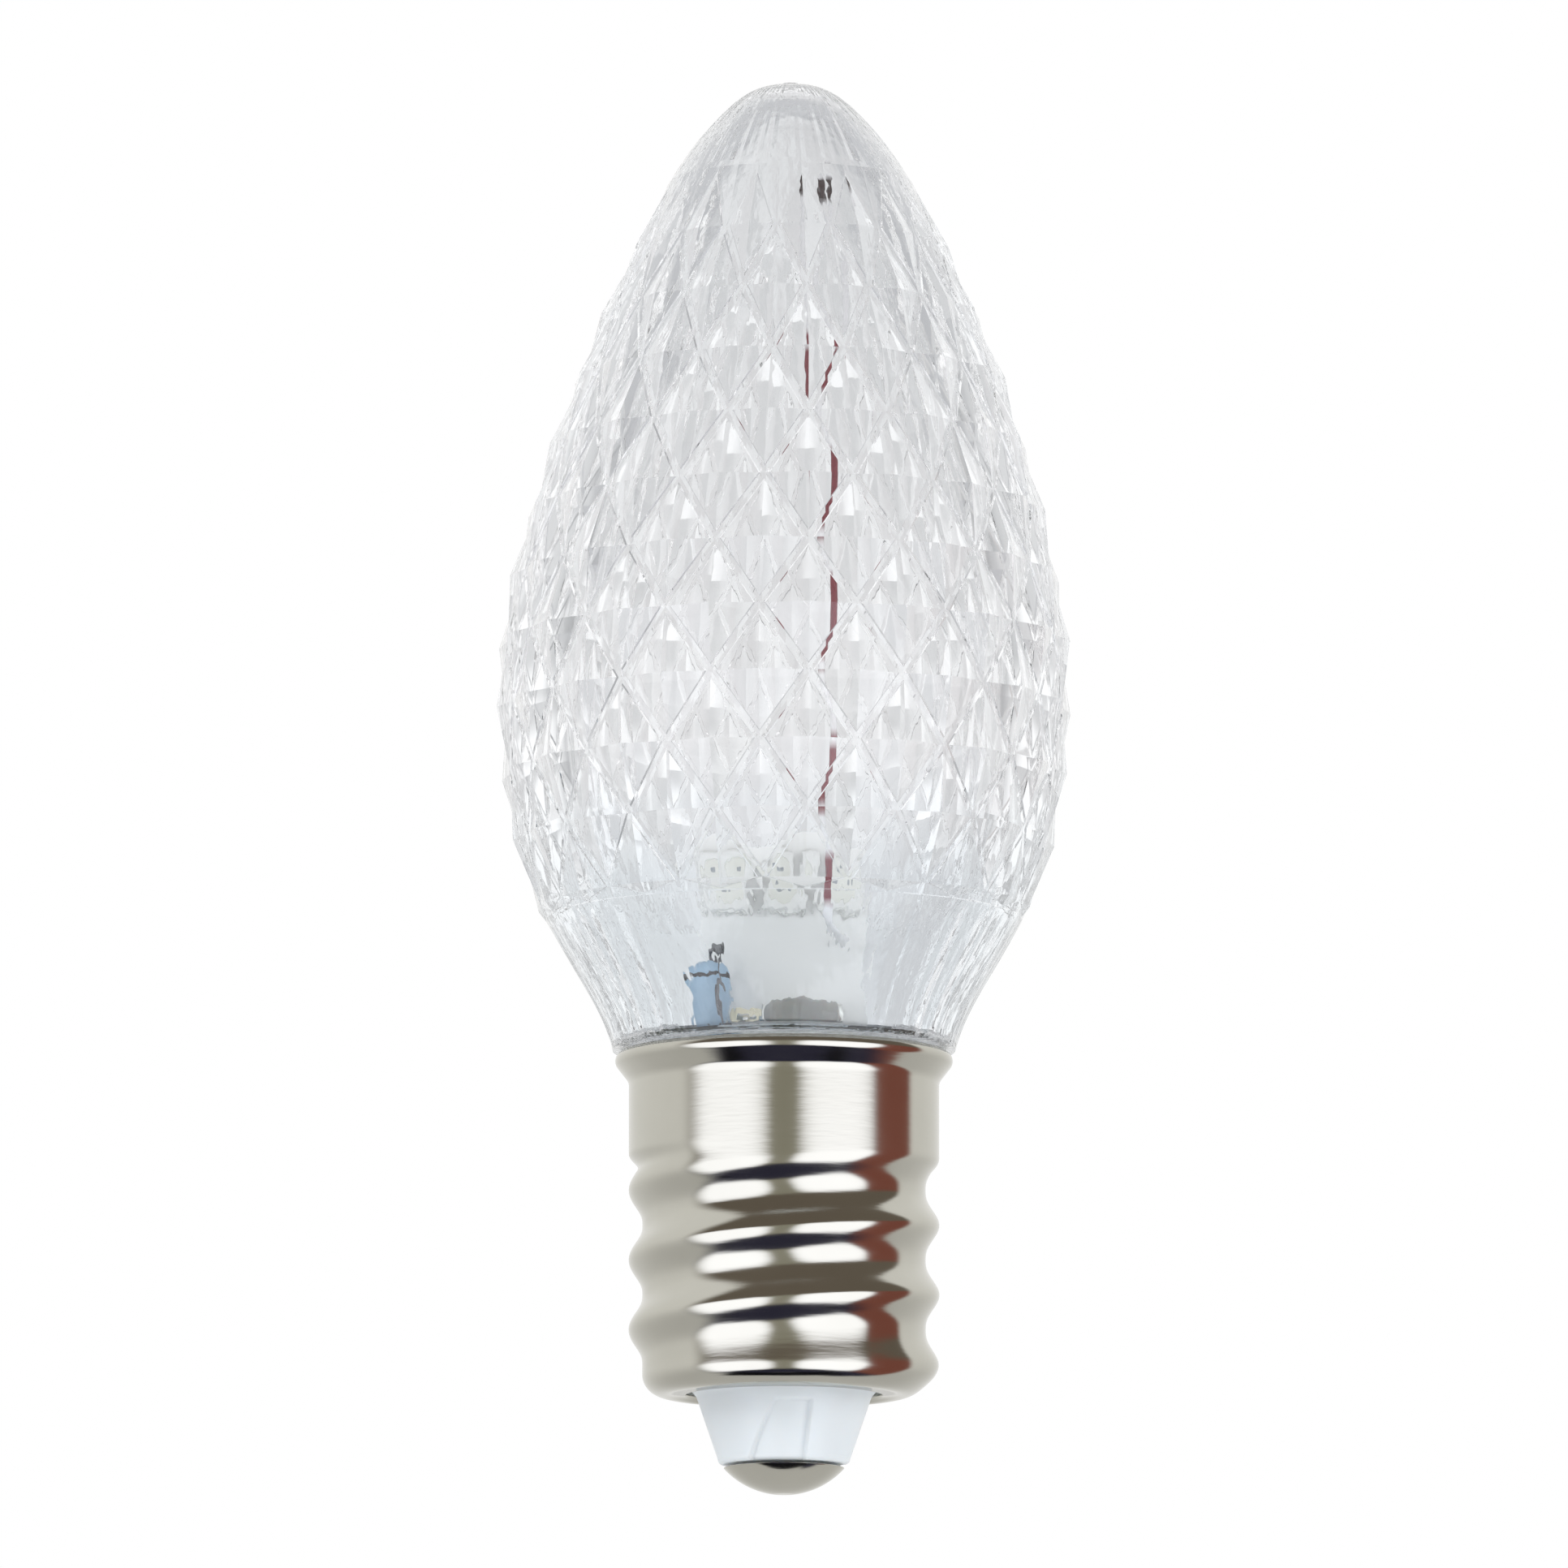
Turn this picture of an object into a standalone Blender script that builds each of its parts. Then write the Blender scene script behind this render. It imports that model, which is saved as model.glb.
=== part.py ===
"""A clear, faceted, candle-shaped LED christmas light bulb on a small screw base.

Metres, +Z up. The bulb stands on the crown of its centre contact, which is the origin, and its
axis is Z. The front of the board and of the lens lattice looks along -Y.
"""
import math

import bmesh
import bpy
from mathutils import Matrix, Vector

# Gaps
FIT_GAP = 0.0003  # play between two housings
SEAT_GAP = 0.0001  # film of solder or glue between two pieces

# Centre contact
CONTACT_RADIUS = 0.0023
CONTACT_HEIGHT = 0.0010
CONTACT_CROWN = 0.0004  # radius of the small flat at the lowest point
STEM_RADIUS = 0.00085
STEM_LENGTH = 0.0022
STEM_BORE = 0.0005

# Base insulator
NOSE_LENGTH = 0.0030
NOSE_FOOT_RADIUS = 0.0025
NOSE_EDGE = 0.0001
SLEEVE_LENGTH = 0.0092
SLEEVE_WALL = 0.0008
SLEEVE_CHAMFER = 0.0007
FLOOR_THICKNESS = 0.0012
HOLDER_HEIGHT = 0.0021  # bar across the floor, slotted for the board
HOLDER_DEPTH = 0.0030
NOTCH_WIDTH = 0.0012  # notch in the sleeve's top edge for the lead to the shell
NOTCH_DEPTH = 0.0010
INSULATOR_STEPS = 36  # faces round the insulator
STEM_STEPS = 20  # faces round its hole for the contact's stem
POCKET_COUNT = 3
POCKET_DEPTH = 0.00012
POCKET_HEIGHT = 0.0022
POCKET_FOOT_WIDTH = 0.0030
POCKET_TOP_WIDTH = 0.0015
POCKET_SIDE = 0.00114  # from the pocket's middle line to its upright side

# Screw shell
THREAD_RADIUS = 0.005875
THREAD_PITCH = 0.00265
THREAD_DEPTH = 0.00052
THREAD_FADE = 0.0007  # height over which the thread dies out at its top
THREAD_LENGTH = 0.0086
THREAD_PHASE = 0.472  # turns from the shell's bottom back to the crest at +X
THREAD_START = 0.5  # turns above that crest at which the thread begins
THREAD_RUN_IN = 0.2  # turns over which its first crest rises
THREAD_END = 4  # turns above that crest at which only the last groove is left
THREAD_RUN_OUT = 0.2  # turns over which that groove runs out
THREAD_ROWS = 6  # rows of faces to a turn of the thread
SHEET = 0.0003
LIP_HOLE_RADIUS = 0.00375  # hole in the shell's bottom, round the nose
LIP_FLAT_RADIUS = 0.0045
CURL_HEIGHT = 0.0008  # height of the curl at the shell's bottom
BAND_HEIGHT = 0.00259  # plain band between the thread and the flare
RIM_OVERHANG = 0.000525  # how far the rim stands over the plain band
RIM_BEND = 0.00035
RIM_TURN = math.radians(60)  # how far the rim rounds over at its top
FLARE_RADIUS = 0.0005
FLARE_TURN = math.radians(38)  # slope of the flare from the plain band out to the rim

# Lens
LENS_HEIGHT = 0.03725  # from the shell's rim to the tip
LENS_RADIUS = 0.01083
BELLY_HEIGHT = 0.0143  # from the shell's rim to the widest place
FOOT_OVERHANG = 0.0001  # how far the lens stands over the rim
FOOT_SLOPE = math.radians(74)
FOOT_EASE = 0.0041
BELLY_EASE_DOWN = 0.0098
BELLY_EASE_UP = 0.0051
SHOULDER_RADIUS = 0.0034
SHOULDER_DROP = 0.0020  # from the tip down to the shoulder
SHOULDER_SLOPE = math.radians(50)
SHOULDER_EASE_DOWN = 0.0048
SHOULDER_EASE_UP = 0.0024
TIP_EASE = 0.0012
GATE_RADIUS = 0.0004  # low stub at the tip, where the plastic ran into the mould
GATE_HEIGHT = 0.00006
LENS_WALL = 0.0012
NECK_WALL = 0.0009
NECK_CLEARANCE = 0.00025
NECK_TAPER = 0.0012  # height over which the lens bore widens above the neck

# Lens lattice
DIAMONDS_ROUND = 18
DIAMOND_ROW = 0.00254  # half the height of a diamond
LATTICE_START = 0.0054  # from the rim to the lowest row of pyramids
LATTICE_END = 0.0004  # how far that row reaches below its middle
CROWN_HEIGHT = 0.0036  # least height of the smooth crown above the lattice
LATTICE_FADE = 0.0110  # height over which the lattice dies out towards the crown
FACET_RELIEF = 0.00014  # how far the pyramids' points stand over the outline
FACET_DEPTH = 0.00020  # how far their edges lie under it
CHANNEL_DEPTH = 0.00026
CHANNEL_HALF_WIDTH = 0.00016
RING_STEP = 5  # points of the outline to each ring of the smooth crown and foot
BORE_STEP = 7  # points of the outline to each face of the smooth inside

# Board and LEDs
BOARD_THICKNESS = 0.0008
BOARD_HEIGHT = 0.0193
BOARD_SIDE_GAP = 0.00085  # from the board's edges to the sleeve
BOARD_CORNER = 0.0010
LED_WIDTH = 0.0016
LED_LENGTH = 0.0020
LED_DEPTH = 0.0007
LED_EDGE = 0.0001
LED_CUP_RADIUS = 0.0006
LED_CUP_DEPTH = 0.00025
LED_PITCH = 0.0021  # from one LED to the next beside it
LED_TOP_INSET = 0.0019  # from the board's top to the middle of the LEDs
LEDS_A_SIDE = 3

# Electronics low on the board
LEAD_RADIUS = 0.0002
LEAD_BEND = 0.0006
RESISTOR_RADIUS = 0.00075
RESISTOR_WAIST = 0.00066
RESISTOR_LENGTH = 0.0042
RESISTOR_END = 0.0010  # length of its fatter ends
RESISTOR_EDGE = 0.0002
RESISTOR_INSET = 0.0004  # from the board's edge to its axis
RESISTOR_RAISE = 0.0128  # from the insulator's floor to its middle
RESISTOR_STANDOFF = 0.0002
HAIRPIN_SPACING = 0.00125
HAIRPIN_TURN = math.radians(18)
HAIRPIN_RISE = 0.0009
CAPACITOR_WIDTH = 0.0032
CAPACITOR_HEIGHT = 0.0016
CAPACITOR_DEPTH = 0.0012
CAPACITOR_EDGE = 0.0002
RECTIFIER_WIDTH = 0.0044
RECTIFIER_HEIGHT = 0.0036
RECTIFIER_DEPTH = 0.0014
RECTIFIER_EDGE = 0.0002
RECTIFIER_RAISE = 0.0095
PIN_WIDTH = 0.0006
PIN_THICKNESS = 0.0002
PIN_REACH = 0.00045
PIN_FOOT = 0.0005
PIN_SPACING = 0.0024
SOLDER_RADIUS = 0.0004
SOLDER_HEIGHT = 0.00035
SOLDER_SHOULDER = 0.6  # share of its height and width at which the joint turns over
SOLDER_PLAY = 0.00008  # between a lead and the joint round it
SHELL_LEAD_INSET = 0.0008  # from the board's edge to the lead
SHELL_LEAD_RISE = 0.0022  # from the sleeve's top edge to the lead's joint on the board

# Heights worked out from the bottom up
nose_foot = CONTACT_HEIGHT + SEAT_GAP
flange = nose_foot + NOSE_LENGTH
floor_top = flange + FLOOR_THICKNESS
sleeve_top = flange + SLEEVE_LENGTH
shell_bottom = flange - FIT_GAP - SHEET
thread_bottom = shell_bottom + CURL_HEIGHT
thread_top = thread_bottom + THREAD_LENGTH
band_top = thread_top + BAND_HEIGHT
flare_bends = RIM_BEND + FLARE_RADIUS
flare_run = (RIM_OVERHANG - flare_bends * (1 - math.cos(FLARE_TURN))) / math.sin(FLARE_TURN)
rim_middle = band_top + flare_bends * math.sin(FLARE_TURN) + flare_run * math.cos(FLARE_TURN)
rim_top = rim_middle + RIM_BEND * math.sin(RIM_TURN)
lens_foot = rim_top + SEAT_GAP
lens_tip = lens_foot + LENS_HEIGHT
neck_bottom = sleeve_top + FIT_GAP
board_bottom = floor_top + FIT_GAP
board_top = board_bottom + BOARD_HEIGHT

# Radii worked out from the shell outwards and inwards
rim_radius = THREAD_RADIUS + RIM_OVERHANG
foot_radius = rim_radius + FOOT_OVERHANG
shell_bore = THREAD_RADIUS - SHEET
thread_bore = shell_bore - THREAD_DEPTH
sleeve_radius = thread_bore - FIT_GAP
sleeve_bore = sleeve_radius - SLEEVE_WALL
nose_top_radius = LIP_HOLE_RADIUS - FIT_GAP
neck_radius = shell_bore - NECK_CLEARANCE
neck_bore = neck_radius - NECK_WALL
board_width = 2 * (sleeve_bore - BOARD_SIDE_GAP)
board_face = BOARD_THICKNESS / 2 + SEAT_GAP

for old in list(bpy.data.objects):
    bpy.data.objects.remove(old, do_unlink=True)
parts = bpy.data.collections.new("christmas_light_bulb")
cutters = bpy.data.collections.new("cutters")
for collection in (parts, cutters):
    bpy.context.scene.collection.children.link(collection)


def finish(name, colour, roughness, metallic=0.0, clear=0.0):
    """A material in the colour of the real piece."""
    material = bpy.data.materials.new(name)
    material.use_nodes = True
    shader = material.node_tree.nodes["Principled BSDF"]
    shader.inputs["Base Color"].default_value = (*colour, 1.0)
    shader.inputs["Roughness"].default_value = roughness
    shader.inputs["Metallic"].default_value = metallic
    shader.inputs["Transmission Weight"].default_value = clear
    material.diffuse_color = (*colour, 1.0)
    return material


CLEAR_PLASTIC = finish("clear_plastic", (0.93, 0.94, 0.95), 0.05, clear=1.0)
NICKEL = finish("nickel_plate", (0.66, 0.63, 0.57), 0.18, metallic=1.0)
WHITE_PLASTIC = finish("white_plastic", (0.80, 0.85, 0.90), 0.35)
BOARD_WHITE = finish("board_white", (0.86, 0.87, 0.85), 0.4)
LED_WHITE = finish("led_white", (0.90, 0.89, 0.84), 0.3)
RESISTOR_BLUE = finish("resistor_blue", (0.30, 0.50, 0.72), 0.35)
CAPACITOR_GREY = finish("capacitor_grey", (0.38, 0.40, 0.40), 0.5)
CHIP_BLACK = finish("chip_black", (0.03, 0.03, 0.035), 0.45)
TINNED = finish("tinned_wire", (0.55, 0.54, 0.52), 0.25, metallic=1.0)
SOLDER = finish("solder", (0.70, 0.70, 0.68), 0.22, metallic=1.0)


def place(name, data, collection, material=None):
    """Put a mesh or a curve in the scene as an object of its own."""
    thing = bpy.data.objects.new(name, data)
    collection.objects.link(thing)
    if material:
        data.materials.append(material)
    if collection is cutters:
        thing.hide_render = True
        thing.display_type = "WIRE"
    return thing


def cut(thing, cutter, operation="DIFFERENCE"):
    """Cut, join or intersect with another object, and keep the step as a modifier."""
    modifier = thing.modifiers.new(cutter.name, "BOOLEAN")
    modifier.operation = operation
    modifier.solver = "EXACT"
    modifier.object = cutter
    return thing


def bevel(thing, width, segments=1):
    modifier = thing.modifiers.new("edges", "BEVEL")
    modifier.width = width
    modifier.segments = segments
    modifier.limit_method = "ANGLE"
    return thing


def smooth(mesh, degrees=35):
    mesh.shade_smooth()
    mesh.set_sharp_from_angle(angle=math.radians(degrees))


def turned(name, profile, steps, collection, material=None, closed=False):
    """Turn a profile of (radius, height) points round Z; it runs down its outer side."""
    mesh = bpy.data.meshes.new(name)
    edges = [(i, i + 1) for i in range(len(profile) - 1)]
    if closed:
        edges.append((len(profile) - 1, 0))
    mesh.from_pydata([(radius, 0.0, height) for radius, height in profile], edges, [])
    thing = place(name, mesh, collection, material)
    screw = thing.modifiers.new("turn", "SCREW")
    screw.steps = steps
    screw.render_steps = steps
    screw.use_merge_vertices = True
    screw.merge_threshold = 0.000001
    screw.use_smooth_shade = True
    return thing


def evaluated_mesh(thing):
    """The object's mesh with its modifiers in it."""
    bpy.context.view_layer.update()
    depsgraph = bpy.context.evaluated_depsgraph_get()
    return bpy.data.meshes.new_from_object(thing.evaluated_get(depsgraph))


def box(name, size, centre, collection, material=None):
    mesh = bpy.data.meshes.new(name)
    work = bmesh.new()
    bmesh.ops.create_cube(work, size=1.0)
    bmesh.ops.scale(work, vec=size, verts=work.verts)
    work.to_mesh(mesh)
    work.free()
    thing = place(name, mesh, collection, material)
    thing.location = centre
    return thing


def plate(name, outline, thickness, collection, material=None):
    """A flat outline in X and Y, extruded to a thickness along Z."""
    curve = bpy.data.curves.new(name, "CURVE")
    curve.dimensions = "2D"
    curve.fill_mode = "BOTH"
    curve.extrude = thickness / 2
    spline = curve.splines.new("POLY")
    spline.points.add(len(outline) - 1)
    for point, (x, y) in zip(spline.points, outline):
        point.co = (x, y, 0.0, 1.0)
    spline.use_cyclic_u = True
    return place(name, curve, collection, material)


def meshed(curve_object, collection, material=None):
    """Turn a curve object into a mesh object with its caps welded on."""
    mesh = evaluated_mesh(curve_object)
    work = bmesh.new()
    work.from_mesh(mesh)
    bmesh.ops.remove_doubles(work, verts=work.verts, dist=0.000001)
    bmesh.ops.recalc_face_normals(work, faces=work.faces)
    work.to_mesh(mesh)
    work.free()
    name = curve_object.name
    matrix = curve_object.matrix_world.copy()
    bpy.data.objects.remove(curve_object, do_unlink=True)
    mesh.materials.clear()
    thing = place(name, mesh, collection, material)
    thing.matrix_world = matrix
    return thing


def bezier(start, leave, arrive, end, steps):
    """Points on a cubic from start to end, without the end."""
    points = []
    for i in range(steps):
        t = i / steps
        weights = ((1 - t) ** 3, 3 * (1 - t) ** 2 * t, 3 * (1 - t) * t * t, t**3)
        points.append(
            tuple(
                sum(weight * corner[axis] for weight, corner in zip(weights, (start, leave, arrive, end)))
                for axis in (0, 1)
            )
        )
    return points


def arc(centre, radius, first, last, steps):
    """Points on an arc of (radius, height), angles in radians, both ends included."""
    return [
        (
            centre[0] + radius * math.cos(first + (last - first) * i / steps),
            centre[1] + radius * math.sin(first + (last - first) * i / steps),
        )
        for i in range(steps + 1)
    ]


# Centre contact: a domed cap with a hollow stem, riveted through the nose
dome_rise = (CONTACT_RADIUS**2 - CONTACT_CROWN**2 + CONTACT_HEIGHT**2) / (2 * CONTACT_HEIGHT)
dome_radius = math.hypot(dome_rise, CONTACT_CROWN)
rim_angle = -math.acos(CONTACT_RADIUS / dome_radius)
crown_angle = -math.acos(CONTACT_CROWN / dome_radius)
stem_top = CONTACT_HEIGHT + STEM_LENGTH
turned(
    "tip_contact",
    [
        (0.0, CONTACT_HEIGHT),
        (STEM_BORE, CONTACT_HEIGHT),
        (STEM_BORE, stem_top),
        (STEM_RADIUS, stem_top),
        (STEM_RADIUS, CONTACT_HEIGHT),
        *arc((0.0, dome_rise), dome_radius, rim_angle, crown_angle, 5),
        (0.0, 0.0),
    ],
    24,
    parts,
    NICKEL,
)

# Base insulator: nose, flange and sleeve, moulded as one
stem_hole = STEM_RADIUS + SEAT_GAP
insulator = turned(
    "base_insulator",
    [
        (0.0, floor_top),
        (sleeve_bore, floor_top),
        (sleeve_bore, sleeve_top),
        (sleeve_radius, sleeve_top),
        (sleeve_radius, flange + SLEEVE_CHAMFER),
        (sleeve_radius - SLEEVE_CHAMFER, flange),
        (nose_top_radius, flange),
        (NOSE_FOOT_RADIUS, nose_foot + NOSE_EDGE),
        (NOSE_FOOT_RADIUS - NOSE_EDGE, nose_foot),
        (0.0, nose_foot),
    ],
    INSULATOR_STEPS,
    parts,
    WHITE_PLASTIC,
)
holder_overlap = SLEEVE_WALL / 2
holder = box(
    "holder",
    (2 * (sleeve_bore + holder_overlap), HOLDER_DEPTH, HOLDER_HEIGHT + holder_overlap),
    (0, 0, floor_top + (HOLDER_HEIGHT - holder_overlap) / 2),
    cutters,
)
cut(insulator, holder, "UNION")
slot_length = board_width + 2 * FIT_GAP
slot_width = BOARD_THICKNESS + 2 * FIT_GAP
slot = box(
    "holder_slot",
    (slot_length, slot_width, 2 * HOLDER_HEIGHT),
    (0, 0, floor_top + HOLDER_HEIGHT),
    cutters,
)
cut(insulator, slot)
stem_passage = turned(
    "stem_passage",
    [
        (0.0, floor_top + 2 * HOLDER_HEIGHT),
        (stem_hole, floor_top + 2 * HOLDER_HEIGHT),
        (stem_hole, nose_foot - FIT_GAP),
        (0.0, nose_foot - FIT_GAP),
    ],
    STEM_STEPS,
    cutters,
)
cut(insulator, stem_passage)
lead_run_y = -(board_face + SOLDER_HEIGHT + LEAD_BEND)
notch = box(
    "lead_notch",
    (2 * SLEEVE_WALL + sleeve_radius, NOTCH_WIDTH, 2 * NOTCH_DEPTH),
    (sleeve_radius, lead_run_y, sleeve_top),
    cutters,
)
cut(insulator, notch)


def nose_radius(height):
    """Radius of the nose's cone at a height."""
    share = (height - nose_foot) / NOSE_LENGTH
    return NOSE_FOOT_RADIUS + share * (nose_top_radius - NOSE_FOOT_RADIUS)


pocket_foot = nose_foot - FIT_GAP
pocket_top = nose_foot + POCKET_HEIGHT
pocket_skin = turned(
    "pocket_skin",
    [
        (nose_top_radius + FIT_GAP, pocket_top),
        (nose_top_radius + FIT_GAP, pocket_foot),
        (nose_radius(pocket_foot) - POCKET_DEPTH, pocket_foot),
        (nose_radius(pocket_top) - POCKET_DEPTH, pocket_top),
    ],
    INSULATOR_STEPS,
    cutters,
    closed=True,
)
pocket_reach = nose_top_radius + 2 * FIT_GAP
for index in range(POCKET_COUNT):
    pocket = plate(
        f"pocket_{index + 1}",
        [
            (POCKET_SIDE, pocket_foot - FIT_GAP),
            (POCKET_SIDE, pocket_top + FIT_GAP),
            (POCKET_SIDE - POCKET_TOP_WIDTH, pocket_top + FIT_GAP),
            (POCKET_SIDE - POCKET_FOOT_WIDTH, pocket_foot - FIT_GAP),
        ],
        pocket_reach,
        cutters,
    )
    upright = Matrix.Rotation(math.radians(90), 4, "X")
    outwards = Matrix.Translation((0, -pocket_reach / 2, 0))
    turn = Matrix.Rotation(2 * math.pi * index / POCKET_COUNT, 4, "Z")
    pocket.matrix_world = turn @ outwards @ upright
    pocket = meshed(pocket, cutters)
    cut(pocket, pocket_skin, "INTERSECT")
    cut(insulator, pocket)

# Screw shell: thin sheet, turned first and then rolled to a thread
rim_centre = (rim_radius - RIM_BEND, rim_middle)
flare_centre = (THREAD_RADIUS + FLARE_RADIUS, band_top)
thread_rows = max(3, round(THREAD_LENGTH / THREAD_PITCH * THREAD_ROWS))
curl_centre = (LIP_FLAT_RADIUS, thread_bottom)
curl_steps = 4
shell_profile = [
    *arc(rim_centre, RIM_BEND, RIM_TURN, -FLARE_TURN, 4),
    *arc(flare_centre, FLARE_RADIUS, math.pi - FLARE_TURN, math.pi, 2),
    (THREAD_RADIUS, (band_top + thread_top) / 2),
    *[
        (THREAD_RADIUS, thread_top - THREAD_LENGTH * i / thread_rows)
        for i in range(thread_rows + 1)
    ],
    *[
        (
            curl_centre[0] + (THREAD_RADIUS - LIP_FLAT_RADIUS) * math.cos(i / curl_steps * math.pi / 2),
            curl_centre[1] - CURL_HEIGHT * math.sin(i / curl_steps * math.pi / 2),
        )
        for i in range(1, curl_steps + 1)
    ],
    (LIP_HOLE_RADIUS, shell_bottom),
]
blank = turned("shell_blank", shell_profile, 34, cutters)
shell_mesh = evaluated_mesh(blank)
bpy.data.objects.remove(blank, do_unlink=True)
crest_height = shell_bottom - THREAD_PITCH * THREAD_PHASE


def groove_share(radius, height, turn):
    """1 at the bottom of the groove, 0 on a crest, on the plain band and on the flat of the lip."""
    turns_up = (height - crest_height) / THREAD_PITCH - turn
    crest = (1 + math.cos(2 * math.pi * turns_up)) / 2
    if turns_up < THREAD_START:
        crest = 0.0
    elif turns_up < THREAD_START + 1:
        crest *= max(0.0, min(1.0, 1 + turn / THREAD_RUN_IN))
    elif turns_up > THREAD_END:
        crest = 1 - (1 - crest) * max(0.0, 1 - (turn + 0.5) / THREAD_RUN_OUT)
    above = (thread_top - height) / THREAD_FADE
    beside = (radius - LIP_FLAT_RADIUS) / (THREAD_RADIUS - LIP_FLAT_RADIUS)
    return (1 - crest) * max(0.0, min(1.0, above, beside))


for vertex in shell_mesh.vertices:
    radius = math.hypot(vertex.co.x, vertex.co.y)
    turn = math.atan2(vertex.co.y, vertex.co.x) / (2 * math.pi)
    rolled = radius - THREAD_DEPTH * groove_share(radius, vertex.co.z, turn)
    vertex.co.x *= rolled / radius
    vertex.co.y *= rolled / radius
smooth(shell_mesh, 60)
shell = place("screw_shell", shell_mesh, parts, NICKEL)
sheet = shell.modifiers.new("sheet", "SOLIDIFY")
sheet.thickness = SHEET
sheet.offset = -1.0
sheet.use_even_offset = True

# Lens: a candle outline from the tip down to the rim
dome_top = lens_tip - GATE_HEIGHT
tip_point = (0.0, dome_top)
shoulder_point = (SHOULDER_RADIUS, dome_top - SHOULDER_DROP)
belly_point = (LENS_RADIUS, lens_foot + BELLY_HEIGHT)
foot_point = (foot_radius, lens_foot)
shoulder_down = (math.cos(SHOULDER_SLOPE), -math.sin(SHOULDER_SLOPE))
foot_up = (math.cos(FOOT_SLOPE), math.sin(FOOT_SLOPE))
lens_outline = [
    *bezier(
        tip_point,
        (TIP_EASE, dome_top),
        (
            shoulder_point[0] - SHOULDER_EASE_UP * shoulder_down[0],
            shoulder_point[1] - SHOULDER_EASE_UP * shoulder_down[1],
        ),
        shoulder_point,
        12,
    ),
    *bezier(
        shoulder_point,
        (
            shoulder_point[0] + SHOULDER_EASE_DOWN * shoulder_down[0],
            shoulder_point[1] + SHOULDER_EASE_DOWN * shoulder_down[1],
        ),
        (belly_point[0], belly_point[1] + BELLY_EASE_UP),
        belly_point,
        30,
    ),
    *bezier(
        belly_point,
        (belly_point[0], belly_point[1] - BELLY_EASE_DOWN),
        (foot_radius + FOOT_EASE * foot_up[0], lens_foot + FOOT_EASE * foot_up[1]),
        foot_point,
        24,
    ),
    foot_point,
]


def lens_radius(height):
    """Radius of the lens outline at a height, read between its points."""
    for (upper_radius, upper), (lower_radius, lower) in zip(lens_outline, lens_outline[1:]):
        if lower <= height <= upper and upper > lower:
            share = (height - lower) / (upper - lower)
            return lower_radius + share * (upper_radius - lower_radius)
    return foot_radius


# Rows of the lattice: its lower end, the pyramids' rows, and its upper end
first_row = lens_foot + LATTICE_START
pyramid_rows = max(1, int((dome_top - CROWN_HEIGHT - first_row) / DIAMOND_ROW))
row_heights = [first_row - LATTICE_END]
row_heights += [first_row + i * DIAMOND_ROW for i in range(pyramid_rows + 1)]
column_angle = math.pi / DIAMONDS_ROUND
columns = 2 * DIAMONDS_ROUND


def lattice_vertex(work, column, height, lift):
    """A corner off the outline by a lift that dies out towards the crown."""
    angle = -math.pi / 2 + (column - 0.5) * column_angle
    share = max(0.0, min(1.0, (row_heights[-1] - height) / LATTICE_FADE))
    radius = lens_radius(height) + lift * share
    return work.verts.new((radius * math.cos(angle), radius * math.sin(angle), height))


def ring_of_vertices(work, radius, height):
    """A ring with a corner at each column of the lattice."""
    ring = []
    for column in range(columns):
        angle = -math.pi / 2 + (column - 0.5) * column_angle
        ring.append(work.verts.new((radius * math.cos(angle), radius * math.sin(angle), height)))
    return ring


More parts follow.
